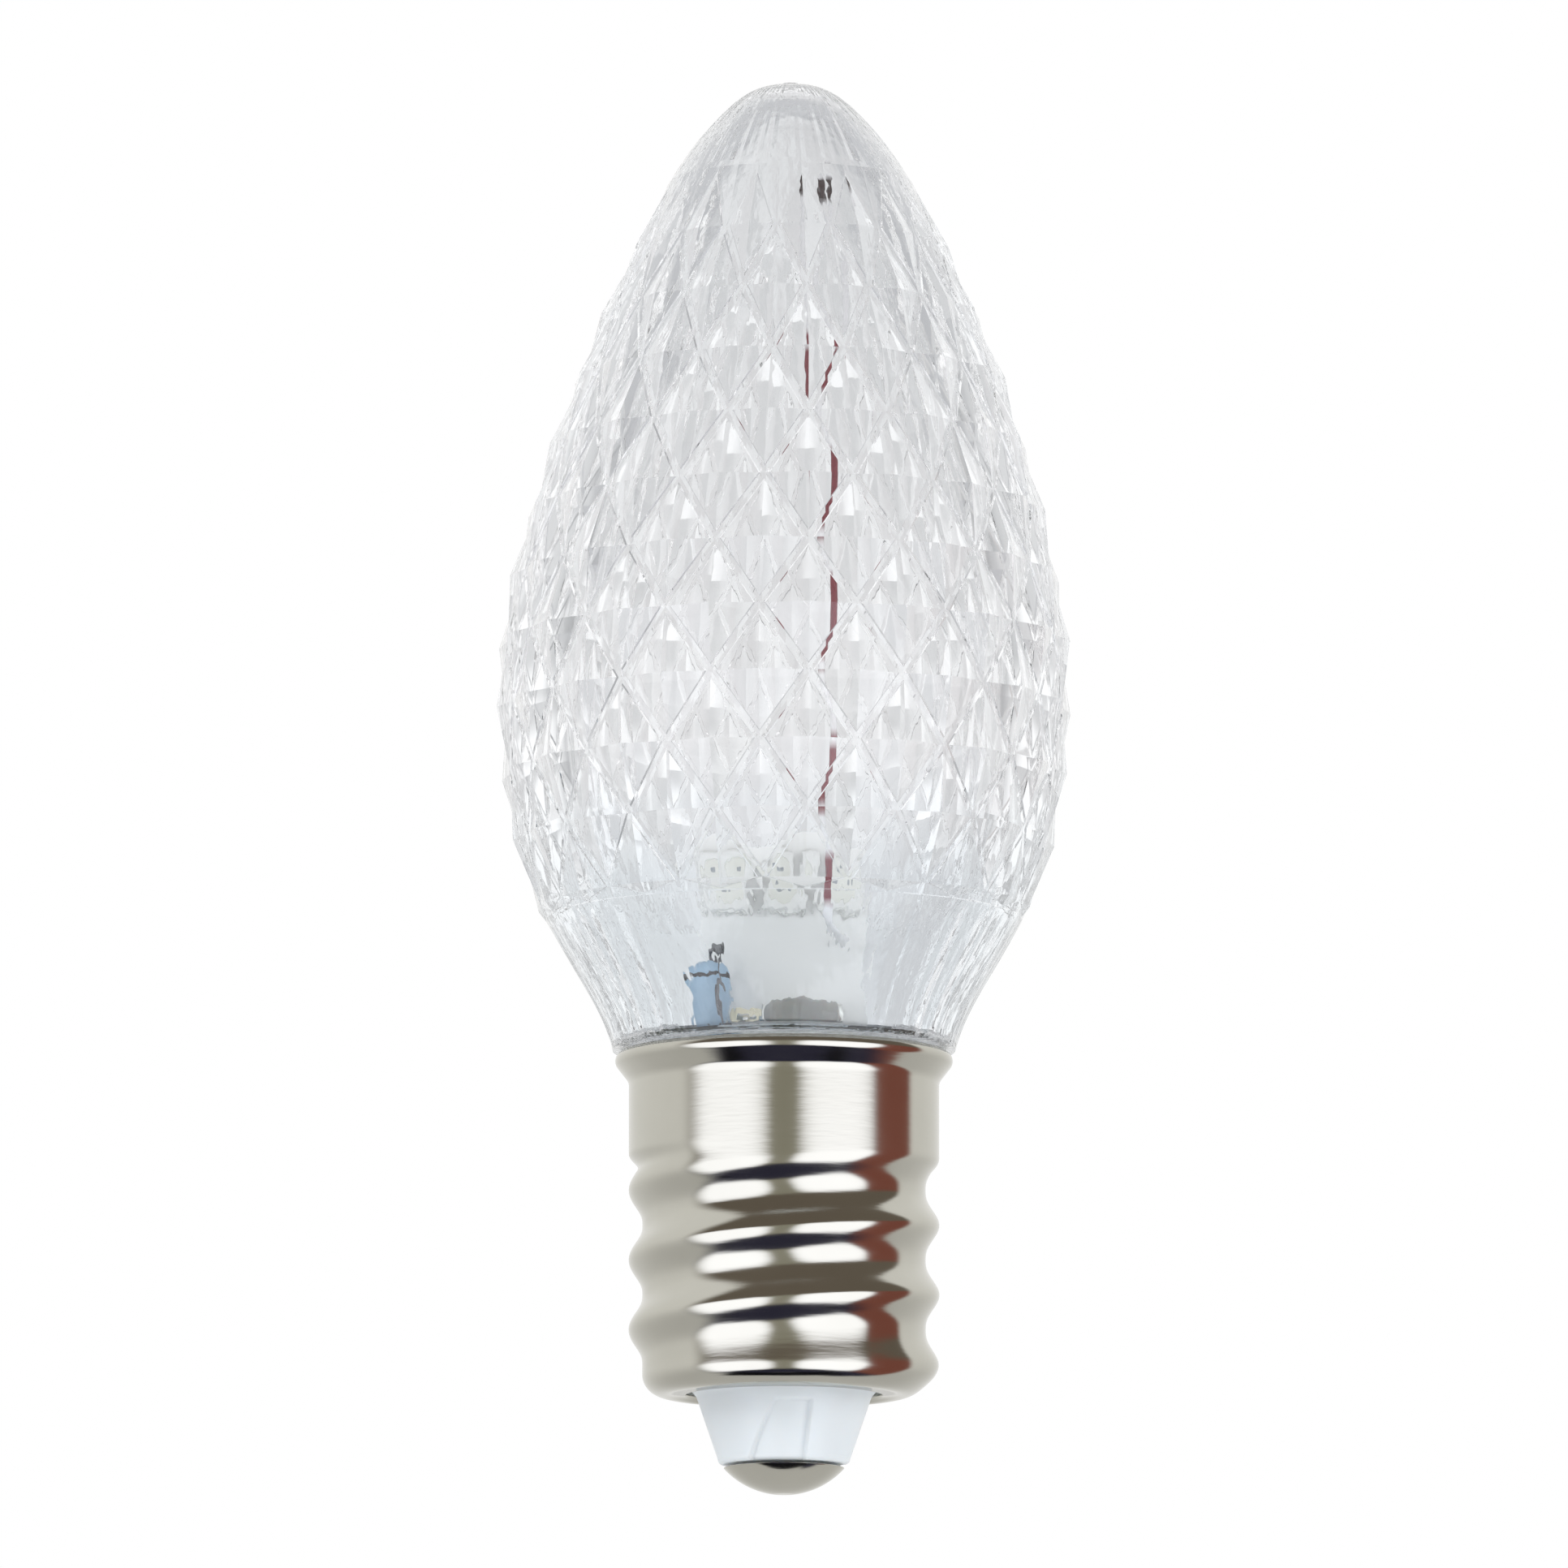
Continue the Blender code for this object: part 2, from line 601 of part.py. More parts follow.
def lens_blank_mesh():
    """The solid lens: a lattice of low pyramids between channels, on a smooth candle shape."""
    work = bmesh.new()
    last = len(row_heights) - 1
    lattice = {}
    for row, height in enumerate(row_heights):
        for column in range(columns):
            is_node = (row + column) % 2 == 1
            if is_node or row in (0, last):
                lattice[row, column] = lattice_vertex(work, column, height, -CHANNEL_DEPTH)
    for row in range(1, last):
        middle = row_heights[row]
        below = middle - row_heights[row - 1]
        above = row_heights[row + 1] - middle
        half_width = lens_radius(middle) * column_angle
        to_side = half_width * above / math.hypot(half_width, above)
        scale = max(0.5, 1.0 - CHANNEL_HALF_WIDTH / to_side)
        for column in range(row % 2, columns, 2):
            nodes = [
                lattice[row - 1, column],
                lattice[row, (column + 1) % columns],
                lattice[row + 1, column],
                lattice[row, column - 1 if column else columns - 1],
            ]
            foot = [
                lattice_vertex(work, column, middle - scale * below, -FACET_DEPTH),
                lattice_vertex(work, column + scale, middle, -FACET_DEPTH),
                lattice_vertex(work, column, middle + scale * above, -FACET_DEPTH),
                lattice_vertex(work, column - scale, middle, -FACET_DEPTH),
            ]
            apex = lattice_vertex(work, column, middle, FACET_RELIEF)
            for side in range(4):
                following = (side + 1) % 4
                work.faces.new((nodes[side], nodes[following], foot[following], foot[side]))
                work.faces.new((foot[side], foot[following], apex))
    for row, neighbour in ((0, 1), (last, last - 1)):
        for column in range(columns):
            if (neighbour + column) % 2 == 0:
                continue
            middle = lattice[row, column]
            point = lattice[neighbour, column]
            for offset in (-1, 1):
                edge = lattice[row, (column + offset) % columns]
                work.faces.new((middle, edge, point))
    crown = [point for point in lens_outline if point[1] > row_heights[-1] and point[0] > GATE_RADIUS]
    foot = [point for point in lens_outline[:-1] if point[1] < row_heights[0]]
    chains = (
        [
            ring_of_vertices(work, *point)
            for point in (
                (GATE_RADIUS, lens_tip),
                (GATE_RADIUS, dome_top),
                *crown[::RING_STEP],
            )
        ]
        + [[lattice[last, column] for column in range(columns)]],
        [[lattice[0, column] for column in range(columns)]]
        + [
            ring_of_vertices(work, *point)
            for point in (
                *foot[RING_STEP // 2 :: RING_STEP],
                foot_point,
                (neck_radius, lens_foot),
                (neck_radius, neck_bottom),
            )
        ],
    )
    for rings in chains:
        for upper, lower in zip(rings, rings[1:]):
            for column in range(columns):
                following = (column + 1) % columns
                work.faces.new((upper[column], upper[following], lower[following], lower[column]))
    work.faces.new(chains[0][0])
    work.faces.new(chains[1][-1])
    bmesh.ops.recalc_face_normals(work, faces=work.faces)
    mesh = bpy.data.meshes.new("lens_cover")
    work.to_mesh(mesh)
    work.free()
    return mesh


def offset_inwards(outline, distance):
    """The outline moved inwards by a wall, from the axis down."""
    moved = []
    for before, point, after in zip(outline, outline[1:], outline[2:]):
        along = Vector((after[0] - before[0], after[1] - before[1])).normalized()
        moved.append((point[0] + distance * along[1], point[1] - distance * along[0]))
    return moved


lens = place("lens_cover", lens_blank_mesh(), parts, CLEAR_PLASTIC)
inner_skin = offset_inwards(lens_outline, LENS_WALL)
bore_end = lens_foot + NECK_TAPER
lens_cavity = turned(
    "lens_cavity",
    [
        (0.0, lens_tip - LENS_WALL),
        *[
            point
            for point in inner_skin[BORE_STEP // 2 + 1 :: BORE_STEP]
            if point[1] > bore_end and point[0] > LENS_WALL / 2
        ],
        (neck_bore, lens_foot),
        (neck_bore, neck_bottom - FIT_GAP),
        (0.0, neck_bottom - FIT_GAP),
    ],
    32,
    cutters,
)
cut(lens, lens_cavity)

# Board: stands in the slot of the insulator
half_board = board_width / 2
board = plate(
    "led_board",
    [
        (-half_board, board_bottom),
        (half_board, board_bottom),
        (half_board, board_top - BOARD_CORNER),
        (half_board - BOARD_CORNER, board_top),
        (BOARD_CORNER - half_board, board_top),
        (-half_board, board_top - BOARD_CORNER),
    ],
    BOARD_THICKNESS,
    parts,
    BOARD_WHITE,
)
board.rotation_euler = (math.radians(90), 0, 0)

# LEDs: three moulded packages side by side at the top of each face, each with a round cup
led_y = board_face + LED_DEPTH / 2
led_cup_mesh = evaluated_mesh(
    turned(
        "led_cup_blank",
        [
            (0.0, LED_CUP_DEPTH),
            (LED_CUP_RADIUS + LED_CUP_DEPTH / 2, LED_CUP_DEPTH),
            (LED_CUP_RADIUS - LED_CUP_DEPTH / 2, -LED_CUP_DEPTH),
            (0.0, -LED_CUP_DEPTH),
        ],
        16,
        cutters,
    )
)
bpy.data.objects.remove(bpy.data.objects["led_cup_blank"], do_unlink=True)
for face, direction in (("front", -1), ("back", 1)):
    for number in range(1, LEDS_A_SIDE + 1):
        across = (number - (LEDS_A_SIDE + 1) / 2) * LED_PITCH
        height = board_top - LED_TOP_INSET
        led = box(
            f"led_{face}_{number}",
            (LED_WIDTH, LED_DEPTH, LED_LENGTH),
            (across, direction * led_y, height),
            parts,
            LED_WHITE,
        )
        bevel(led, LED_EDGE)
        cup = place(f"led_cup_{face}_{number}", led_cup_mesh, cutters)
        cup.location = (across, direction * (board_face + LED_DEPTH), height)
        cup.rotation_euler = (math.radians(90), 0, 0 if direction < 0 else math.pi)
        cut(led, cup)


def rounded(corners, bend):
    """A route of straight runs with its corners rounded."""
    corners = [Vector(corner) for corner in corners]
    route = [corners[0]]
    for before, corner, after in zip(corners, corners[1:], corners[2:]):
        reach = min(bend, (before - corner).length / 2, (after - corner).length / 2)
        enter = corner + (before - corner).normalized() * reach
        leave = corner + (after - corner).normalized() * reach
        for i in range(3):
            t = i / 2
            route.append(enter * (1 - t) ** 2 + corner * 2 * t * (1 - t) + leave * t * t)
    route.append(corners[-1])
    return route


def wire(name, corners, material):
    """A round wire along a route."""
    curve = bpy.data.curves.new(name, "CURVE")
    curve.dimensions = "3D"
    curve.fill_mode = "FULL"
    curve.bevel_depth = LEAD_RADIUS
    curve.bevel_resolution = 2
    curve.use_fill_caps = True
    route = rounded(corners, LEAD_BEND)
    spline = curve.splines.new("POLY")
    spline.points.add(len(route) - 1)
    for point, place_on_route in zip(spline.points, route):
        point.co = (*place_on_route, 1.0)
    return place(name, curve, parts, material)


def solder_joint(name, foot, rotation):
    """A small fillet of solder round a lead, its foot on the surface that carries it."""
    hole = LEAD_RADIUS + SOLDER_PLAY
    joint = turned(
        name,
        [
            (hole, SOLDER_HEIGHT),
            (hole + (SOLDER_RADIUS - hole) * SOLDER_SHOULDER, SOLDER_HEIGHT * SOLDER_SHOULDER),
            (SOLDER_RADIUS, 0.0),
            (hole, 0.0),
        ],
        12,
        parts,
        SOLDER,
        closed=True,
    )
    joint.location = foot
    joint.rotation_euler = rotation
    return joint


FACE_FRONT = (math.radians(90), 0, 0)

# Dropper resistor: stands on its end in front of the board's left edge
resistor_x = RESISTOR_INSET - half_board
resistor_y = -(BOARD_THICKNESS / 2 + RESISTOR_STANDOFF + RESISTOR_RADIUS)
resistor_z = floor_top + RESISTOR_RAISE
half_body = RESISTOR_LENGTH / 2
resistor = turned(
    "dropper_resistor",
    [
        (0.0, half_body),
        (RESISTOR_RADIUS - RESISTOR_EDGE, half_body),
        (RESISTOR_RADIUS, half_body - RESISTOR_EDGE),
        (RESISTOR_RADIUS, half_body - RESISTOR_END),
        (RESISTOR_WAIST, half_body - RESISTOR_END - RESISTOR_EDGE),
        (RESISTOR_WAIST, RESISTOR_END + RESISTOR_EDGE - half_body),
        (RESISTOR_RADIUS, RESISTOR_END - half_body),
        (RESISTOR_RADIUS, RESISTOR_EDGE - half_body),
        (RESISTOR_RADIUS - RESISTOR_EDGE, -half_body),
        (0.0, -half_body),
    ],
    18,
    parts,
    RESISTOR_BLUE,
)
resistor.location = (resistor_x, resistor_y, resistor_z)
body_top = resistor_z + half_body + SEAT_GAP
body_bottom = resistor_z - half_body - SEAT_GAP
hairpin_x = resistor_x + HAIRPIN_SPACING * math.sin(HAIRPIN_TURN)
hairpin_y = resistor_y - HAIRPIN_SPACING * math.cos(HAIRPIN_TURN)
joint_x = resistor_x + RESISTOR_RADIUS + SOLDER_RADIUS + SEAT_GAP
joint_z = resistor_z
wire(
    "dropper_resistor_upper_lead",
    [
        (resistor_x, resistor_y, body_top),
        (resistor_x, resistor_y, body_top + HAIRPIN_RISE),
        (hairpin_x, hairpin_y, body_top + HAIRPIN_RISE),
        (hairpin_x, hairpin_y, joint_z),
        (joint_x, hairpin_y, joint_z),
        (joint_x, -board_face, joint_z),
    ],
    TINNED,
)
solder_joint("resistor_upper_solder", (joint_x, -board_face, joint_z), FACE_FRONT)
lower_joint_z = body_bottom - HAIRPIN_RISE
wire(
    "dropper_resistor_lower_lead",
    [
        (resistor_x, resistor_y, body_bottom),
        (resistor_x, resistor_y, lower_joint_z),
        (resistor_x, -board_face, lower_joint_z),
    ],
    TINNED,
)
solder_joint("resistor_lower_solder", (resistor_x, -board_face, lower_joint_z), FACE_FRONT)

# Chip capacitor: flat on the board, to the right of the resistor
capacitor = box(
    "chip_capacitor",
    (CAPACITOR_WIDTH, CAPACITOR_DEPTH, CAPACITOR_HEIGHT),
    (
        joint_x + SOLDER_RADIUS + SEAT_GAP + CAPACITOR_WIDTH / 2,
        -(board_face + CAPACITOR_DEPTH / 2),
        joint_z,
    ),
    parts,
    CAPACITOR_GREY,
)
bevel(capacitor, CAPACITOR_EDGE, 2)

# Bridge rectifier: on the back of the board, with two gull-wing pins above and two below
rectifier_z = floor_top + RECTIFIER_RAISE
rectifier = box(
    "bridge_rectifier",
    (RECTIFIER_WIDTH, RECTIFIER_DEPTH, RECTIFIER_HEIGHT),
    (0, board_face + RECTIFIER_DEPTH / 2, rectifier_z),
    parts,
    CHIP_BLACK,
)
bevel(rectifier, RECTIFIER_EDGE)
pin_height = RECTIFIER_DEPTH / 2
pin_outline = [
    (SEAT_GAP, pin_height + PIN_THICKNESS),
    (PIN_REACH, pin_height + PIN_THICKNESS),
    (PIN_REACH, PIN_THICKNESS),
    (PIN_REACH + PIN_FOOT, PIN_THICKNESS),
    (PIN_REACH + PIN_FOOT, 0.0),
    (PIN_REACH - PIN_THICKNESS, 0.0),
    (PIN_REACH - PIN_THICKNESS, pin_height),
    (SEAT_GAP, pin_height),
]
for number in range(1, 5):
    up = 1 if number in (1, 2) else -1
    side = 1 if number in (1, 3) else -1
    pin = plate(f"rectifier_pin_{number}", pin_outline, PIN_WIDTH, parts, TINNED)
    pin.rotation_euler = (0, math.radians(-90 * up), 0)
    pin.location = (
        side * PIN_SPACING / 2,
        board_face,
        rectifier_z + up * RECTIFIER_HEIGHT / 2,
    )

# Lead to the centre contact, soldered into the hollow stem
wire(
    "tip_lead",
    [
        (0, 0, board_bottom - SEAT_GAP),
        (0, 0, CONTACT_HEIGHT + SEAT_GAP),
    ],
    TINNED,
)
solder_joint("contact_solder", (0, 0, stem_top + SEAT_GAP), (0, 0, 0))

# Lead to the shell, through the notch in the sleeve
shell_lead_x = half_board - SHELL_LEAD_INSET
shell_joint_z = sleeve_top + SHELL_LEAD_RISE
notch_z = sleeve_top - NOTCH_DEPTH + LEAD_RADIUS + FIT_GAP
lead_end_x = math.sqrt((shell_bore - FIT_GAP) ** 2 - lead_run_y**2)
wire(
    "shell_lead",
    [
        (shell_lead_x, -board_face, shell_joint_z),
        (shell_lead_x, lead_run_y, shell_joint_z),
        (shell_lead_x, lead_run_y, notch_z),
        (lead_end_x, lead_run_y, notch_z),
    ],
    TINNED,
)
solder_joint("shell_lead_solder", (shell_lead_x, -board_face, shell_joint_z), FACE_FRONT)
solder_joint("shell_solder", (lead_end_x, lead_run_y, notch_z), (0, math.radians(-90), 0))
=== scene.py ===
"""The looks of a clear, faceted, candle-shaped LED christmas light bulb.

The bulb is dressed in the order in which it is put together: the centre contact is riveted into
the insulator, the insulator goes into the screw shell, the board with its parts is soldered and
pushed in, and the lens closes it. The floor, the light and the camera come last.
"""
import math

import bmesh
import bpy
from mathutils import Matrix, Vector


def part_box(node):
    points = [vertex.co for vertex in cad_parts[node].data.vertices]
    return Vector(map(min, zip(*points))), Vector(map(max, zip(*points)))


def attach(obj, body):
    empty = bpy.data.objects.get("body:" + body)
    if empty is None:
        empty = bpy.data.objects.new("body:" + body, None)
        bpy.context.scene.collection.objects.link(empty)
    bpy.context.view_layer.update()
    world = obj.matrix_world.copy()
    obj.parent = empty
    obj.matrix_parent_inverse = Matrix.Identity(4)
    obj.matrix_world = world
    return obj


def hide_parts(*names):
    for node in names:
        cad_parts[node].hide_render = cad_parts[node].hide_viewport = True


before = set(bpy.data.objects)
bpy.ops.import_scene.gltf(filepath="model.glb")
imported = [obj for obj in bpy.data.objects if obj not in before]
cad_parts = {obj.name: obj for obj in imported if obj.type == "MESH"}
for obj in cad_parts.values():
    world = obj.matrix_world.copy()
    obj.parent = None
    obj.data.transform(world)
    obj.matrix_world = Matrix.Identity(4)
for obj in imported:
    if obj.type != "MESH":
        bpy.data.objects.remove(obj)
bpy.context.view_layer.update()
scene = bpy.context.scene

# Centre contact
# A cap of nickel-plated brass, pressed to a shallow dome with a hollow stem, and riveted through
# the nose of the insulator.
_, contact_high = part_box("tip_contact")
contact_radius = contact_high[0]
contact_edge = 0.0010
contact_crown = 0.0004
contact_stem = 0.00085
contact_bore = 0.0005
contact_ease = 0.00008
contact_columns = 96


def eased(outline, radius, steps=3, most=0.45):
    """The outline with its corners rounded, each over at most this share of the runs beside it."""
    points = [Vector(point) for point in outline]
    soft = [points[0]]
    for before, corner, after in zip(points, points[1:], points[2:]):
        back, on = before - corner, after - corner
        reach = min(radius, back.length * most, on.length * most)
        start = corner + back.normalized() * reach
        end = corner + on.normalized() * reach
        for i in range(steps + 1):
            t = i / steps
            soft.append(start * (1 - t) ** 2 + corner * 2 * t * (1 - t) + end * t * t)
    soft.append(points[-1])
    return [tuple(point) for point in soft]


def arc(centre, radius, first, last, steps):
    """Points on an arc of (radius, height), both ends included."""
    turns = [first + (last - first) * i / steps for i in range(steps + 1)]
    return [(centre[0] + radius * math.cos(t), centre[1] + radius * math.sin(t)) for t in turns]


def placed(name, data):
    """A new object in the scene."""
    piece = bpy.data.objects.new(name, data)
    scene.collection.objects.link(piece)
    return piece


def finished(name, work, material, sharp=40.0):
    """Turn worked faces into a shaded object with a material."""
    bmesh.ops.recalc_face_normals(work, faces=work.faces)
    mesh = bpy.data.meshes.new(name)
    work.to_mesh(mesh)
    work.free()
    mesh.shade_smooth()
    mesh.set_sharp_from_angle(angle=math.radians(sharp))
    mesh.materials.append(material)
    return placed(name, mesh)


def around(radius, angle, height):
    """The point at a radius, at an angle round the bulb's axis and at a height."""
    return (radius * math.cos(angle), radius * math.sin(angle), height)


def bridge(work, rings):
    """Faces between each ring of corners and the next; a ring may also be a single corner."""
    for upper, lower in zip(rings, rings[1:]):
        steps = max(len(upper), len(lower))
        for i in range(steps):
            j = (i + 1) % steps
            corners = [upper[i % len(upper)], upper[j % len(upper)]]
            corners += [lower[j % len(lower)], lower[i % len(lower)]]
            work.faces.new(list(dict.fromkeys(corners)))


def lathe(name, outline, steps, material, closed=False, sharp=40.0):
    """Turn an outline of (radius, height) points round the bulb's axis."""
    work = bmesh.new()
    turns = [2 * math.pi * i / steps for i in range(steps)]
    rings = []
    for radius, height in outline:
        corners = turns if radius > 1e-7 else [0.0]
        rings.append([work.verts.new(around(radius, turn, height)) for turn in corners])
    if closed:
        rings.append(rings[0])
    bridge(work, rings)
    return finished(name, work, material, sharp)


def material_nodes(name):
    """A new material, with its node tree and its shader."""
    material = bpy.data.materials.new(name)
    material.use_nodes = True
    tree = material.node_tree
    return material, tree, tree.nodes["Principled BSDF"]


def noise(tree, scale, detail=3.0, stretch=(1.0, 1.0, 1.0)):
    """Noise over the object's own metres, stretched along its axes."""
    place = tree.nodes.new("ShaderNodeTexCoord")
    mapping = tree.nodes.new("ShaderNodeMapping")
    mapping.inputs["Scale"].default_value = stretch
    texture = tree.nodes.new("ShaderNodeTexNoise")
    texture.inputs["Scale"].default_value = scale
    texture.inputs["Detail"].default_value = detail
    tree.links.new(place.outputs["Object"], mapping.inputs["Vector"])
    tree.links.new(mapping.outputs["Vector"], texture.inputs["Vector"])
    return texture.outputs["Fac"]


def ramp(tree, factor, stops):
    """A colour ramp over a factor, from (place, colour) stops."""
    node = tree.nodes.new("ShaderNodeValToRGB")
    while len(node.color_ramp.elements) < len(stops):
        node.color_ramp.elements.new(0.5)
    for element, (place, colour) in zip(node.color_ramp.elements, stops):
        element.position = place
        element.color = (*colour, 1.0)
    tree.links.new(factor, node.inputs["Fac"])
    return node.outputs["Color"]


def bump(shader, height, strength, distance):
    """Fine relief, a distance deep, from a height that runs from 0 to 1."""
    tree = shader.id_data
    node = tree.nodes.new("ShaderNodeBump")
    node.inputs["Strength"].default_value = strength
    node.inputs["Distance"].default_value = distance
    tree.links.new(height, node.inputs["Height"])
    tree.links.new(node.outputs["Normal"], shader.inputs["Normal"])


def grey(value):
    return (value, value, value)


def mottled(shader, socket, factor, low, high, start=0.3, end=0.7):
    """Let a socket run from one colour or grey to another as a factor does."""
    tree = shader.id_data
    low, high = (grey(tone) if isinstance(tone, float) else tone for tone in (low, high))
    tree.links.new(ramp(tree, factor, [(start, low), (end, high)]), shader.inputs[socket])


def nickel_plate(name, bright, shade, rough, haze):
    """Bright nickel: a warm metal whose gloss and tone vary a little from place to place."""
    material, tree, shader = material_nodes(name)
    shader.inputs["Metallic"].default_value = 1.0
    clouds = noise(tree, 260.0, 4.0)
    mottled(shader, "Base Color", clouds, shade, bright)
    mottled(shader, "Roughness", clouds, rough, rough + haze, end=0.75)
    bump(shader, noise(tree, 900.0, 2.0, (1.0, 1.0, 7.0)), 0.12, 0.00002)
    return material


contact_metal = nickel_plate("contact_nickel", (0.57, 0.56, 0.50), (0.52, 0.51, 0.455), 0.07, 0.06)
contact_top = contact_high[2]
dome_rise = (contact_radius**2 - contact_crown**2 + contact_edge**2) / (2 * contact_edge)
dome_radius = math.hypot(dome_rise, contact_crown)
dome_turn = math.asin(contact_radius / dome_radius) - math.pi / 2
crown_turn = math.asin(contact_crown / dome_radius) - math.pi / 2
dome_steps = 16
dome = arc((0.0, dome_rise), dome_radius, dome_turn, crown_turn, dome_steps)[1:-1]
contact = lathe(
    "contact_cap",
    eased(
        [
            (0.0, contact_edge),
            (contact_bore, contact_edge),
            (contact_bore, contact_top),
            (contact_stem, contact_top),
            (contact_stem, contact_edge),
            (contact_radius, contact_edge),
            *dome,
            (contact_crown, 0.0),
            (0.0, 0.0),
        ],
        contact_ease,
    ),
    contact_columns,
    contact_metal,
)
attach(contact, "root")
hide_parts("tip_contact")

# Base insulator
# The bluish-white plastic moulding that keeps the contact clear of the shell: a tapered nose with
# shallow slanted pockets, a floor above it, and a sleeve inside the shell.
insulator_low, insulator_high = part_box("base_insulator")
nose_foot = insulator_low[2]
sleeve_top = insulator_high[2]
sleeve_radius = insulator_high[0]
nose_length = 0.0030
nose_foot_radius = 0.0025
nose_top_radius = 0.00345
sleeve_wall = 0.0008
sleeve_chamfer = 0.0007
floor_thickness = 0.0012
pocket_count = 3
pocket_depth = 0.00020
pocket_top = nose_foot + 0.0022
pocket_side = 0.00114
pocket_top_width = 0.0015
pocket_foot_width = 0.0030
pocket_edge = 0.00010
nose_ease = 0.00022
nose_flange = 0.00020
nose_flange_height = 0.0005
nose_rows = 56
insulator_columns = 288

insulator_plastic, tree, shader = material_nodes("insulator_plastic")
shader.inputs["Base Color"].default_value = (0.655, 0.70, 0.73, 1.0)
shader.inputs["Subsurface Weight"].default_value = 0.25
shader.inputs["Subsurface Radius"].default_value = (0.6, 0.8, 1.0)
shader.inputs["Subsurface Scale"].default_value = 0.0008
mottled(shader, "Roughness", noise(tree, 420.0), 0.30, 0.42)
bump(shader, noise(tree, 1600.0), 0.15, 0.00002)

nose_top = nose_foot + nose_length
floor_top = nose_top + floor_thickness
sleeve_bore = sleeve_radius - sleeve_wall


def step(value, start, end):
    """A soft step from 0 at start to 1 at end."""
    t = max(0.0, min(1.0, (value - start) / (end - start)))
    return t * t * (3 - 2 * t)


def pocket_share(angle, height):
    """1 inside a pocket, 0 outside it, with soft edges between."""
    pitch = 2 * math.pi / pocket_count
    turn = (angle + math.pi / 2 + pitch / 2) % pitch - pitch / 2
    across = nose_top_radius * math.sin(turn)
    drop = (pocket_top - height) / (pocket_top - nose_foot)
    left = pocket_side - pocket_top_width - drop * (pocket_foot_width - pocket_top_width)
    half = pocket_edge / 2
    return (
        step(across, left - half, left + half)
        * step(-across, -pocket_side - half, -pocket_side + half)
        * step(-height, -pocket_top - half, -pocket_top + half)
    )


nose_outline = [(0.0, floor_top)]
nose_outline += eased(
    [
        (sleeve_bore, floor_top),
        (sleeve_bore, sleeve_top),
        (sleeve_radius, sleeve_top),
        (sleeve_radius, nose_top + sleeve_chamfer),
        (sleeve_radius - sleeve_chamfer, nose_top),
        (nose_top_radius + nose_flange, nose_top),
    ],
    nose_ease / 2,
)
for i in range(1, nose_rows + 1):
    share = i / nose_rows
    flange = nose_flange * (1 - step(nose_length * share, 0.0, nose_flange_height))
    radius = nose_top_radius + (nose_foot_radius - nose_top_radius) * share + flange
    nose_outline.append((radius, nose_top - (nose_length - nose_ease) * share))
edge = (nose_foot_radius - nose_ease, nose_foot + nose_ease)
nose_outline += arc(edge, nose_ease, 0.0, -math.pi / 2, 5)[1:]
nose_outline.append((0.0, nose_foot))
insulator = lathe("insulator_body", nose_outline, insulator_columns, insulator_plastic)
for vertex in insulator.data.vertices:
    radius = math.hypot(vertex.co.x, vertex.co.y)
    if radius > contact_stem and vertex.co.z < nose_top and radius < nose_top_radius + pocket_edge:
        angle = math.atan2(vertex.co.y, vertex.co.x)
        inset = radius - pocket_depth * pocket_share(angle, vertex.co.z)
        vertex.co.x *= inset / radius
        vertex.co.y *= inset / radius
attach(insulator, "root")
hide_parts("base_insulator")

# Screw shell
# Brass sheet, drawn to a cup, rolled to a right-hand thread, flared at its rim, curled in at its
# bottom and nickel-plated. The band above the thread is plain.
shell_low, shell_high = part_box("screw_shell")
rim_radius = shell_high[0]
rim_top = shell_high[2]
shell_bottom = shell_low[2]
thread_radius = 0.005875
thread_pitch = 0.00265
thread_depth = 0.00052
thread_fade = 0.0007
thread_length = 0.0086
thread_phase = 0.472
groove_breadth = 1.35
thread_start = 0.5
thread_end = 4
first_crest = 0.13
shell_sheet = 0.0003
lip_hole_radius = 0.00375
lip_flat_radius = 0.0045
lip_rise = 0.00022
curl_height = 0.0008
band_height = 0.00259
rim_bend = 0.00035
rim_turn = math.radians(60)
flare_radius = 0.0005
flare_turn = math.radians(38)
shell_columns = 144
shell_row = 0.00011

shell_metal = nickel_plate("shell_nickel", (0.56, 0.55, 0.495), (0.515, 0.505, 0.45), 0.10, 0.07)
thread_bottom = shell_bottom + curl_height
thread_top = thread_bottom + thread_length
band_top = thread_top + band_height
flare_bends = rim_bend + flare_radius
flare_out = rim_radius - thread_radius - flare_bends * (1 - math.cos(flare_turn))
flare_run = flare_out / math.sin(flare_turn)
rim_middle = band_top + flare_bends * math.sin(flare_turn) + flare_run * math.cos(flare_turn)
curl_top = thread_bottom + lip_rise
curl_steps = 18
curl_turns = [math.radians(90 * i / curl_steps) for i in range(1, curl_steps + 1)]
straight_rows = round((band_top - curl_top) / shell_row)
shell_outline = [
    *arc((rim_radius - rim_bend, rim_middle), rim_bend, rim_turn, -flare_turn, 12),
    *arc((thread_radius + flare_radius, band_top), flare_radius, math.pi - flare_turn, math.pi, 9),
    *[
        (thread_radius, band_top - (band_top - curl_top) * i / straight_rows)
        for i in range(1, straight_rows + 1)
    ],
    *[
        (
            lip_flat_radius + (thread_radius - lip_flat_radius) * math.cos(turn),
            curl_top - curl_height * math.sin(turn),
        )
        for turn in curl_turns
    ],
    (lip_hole_radius, shell_bottom + lip_rise),
]
shell = lathe("shell_sheet", shell_outline, shell_columns, shell_metal, sharp=80.0)
crest_height = shell_bottom - thread_pitch * thread_phase
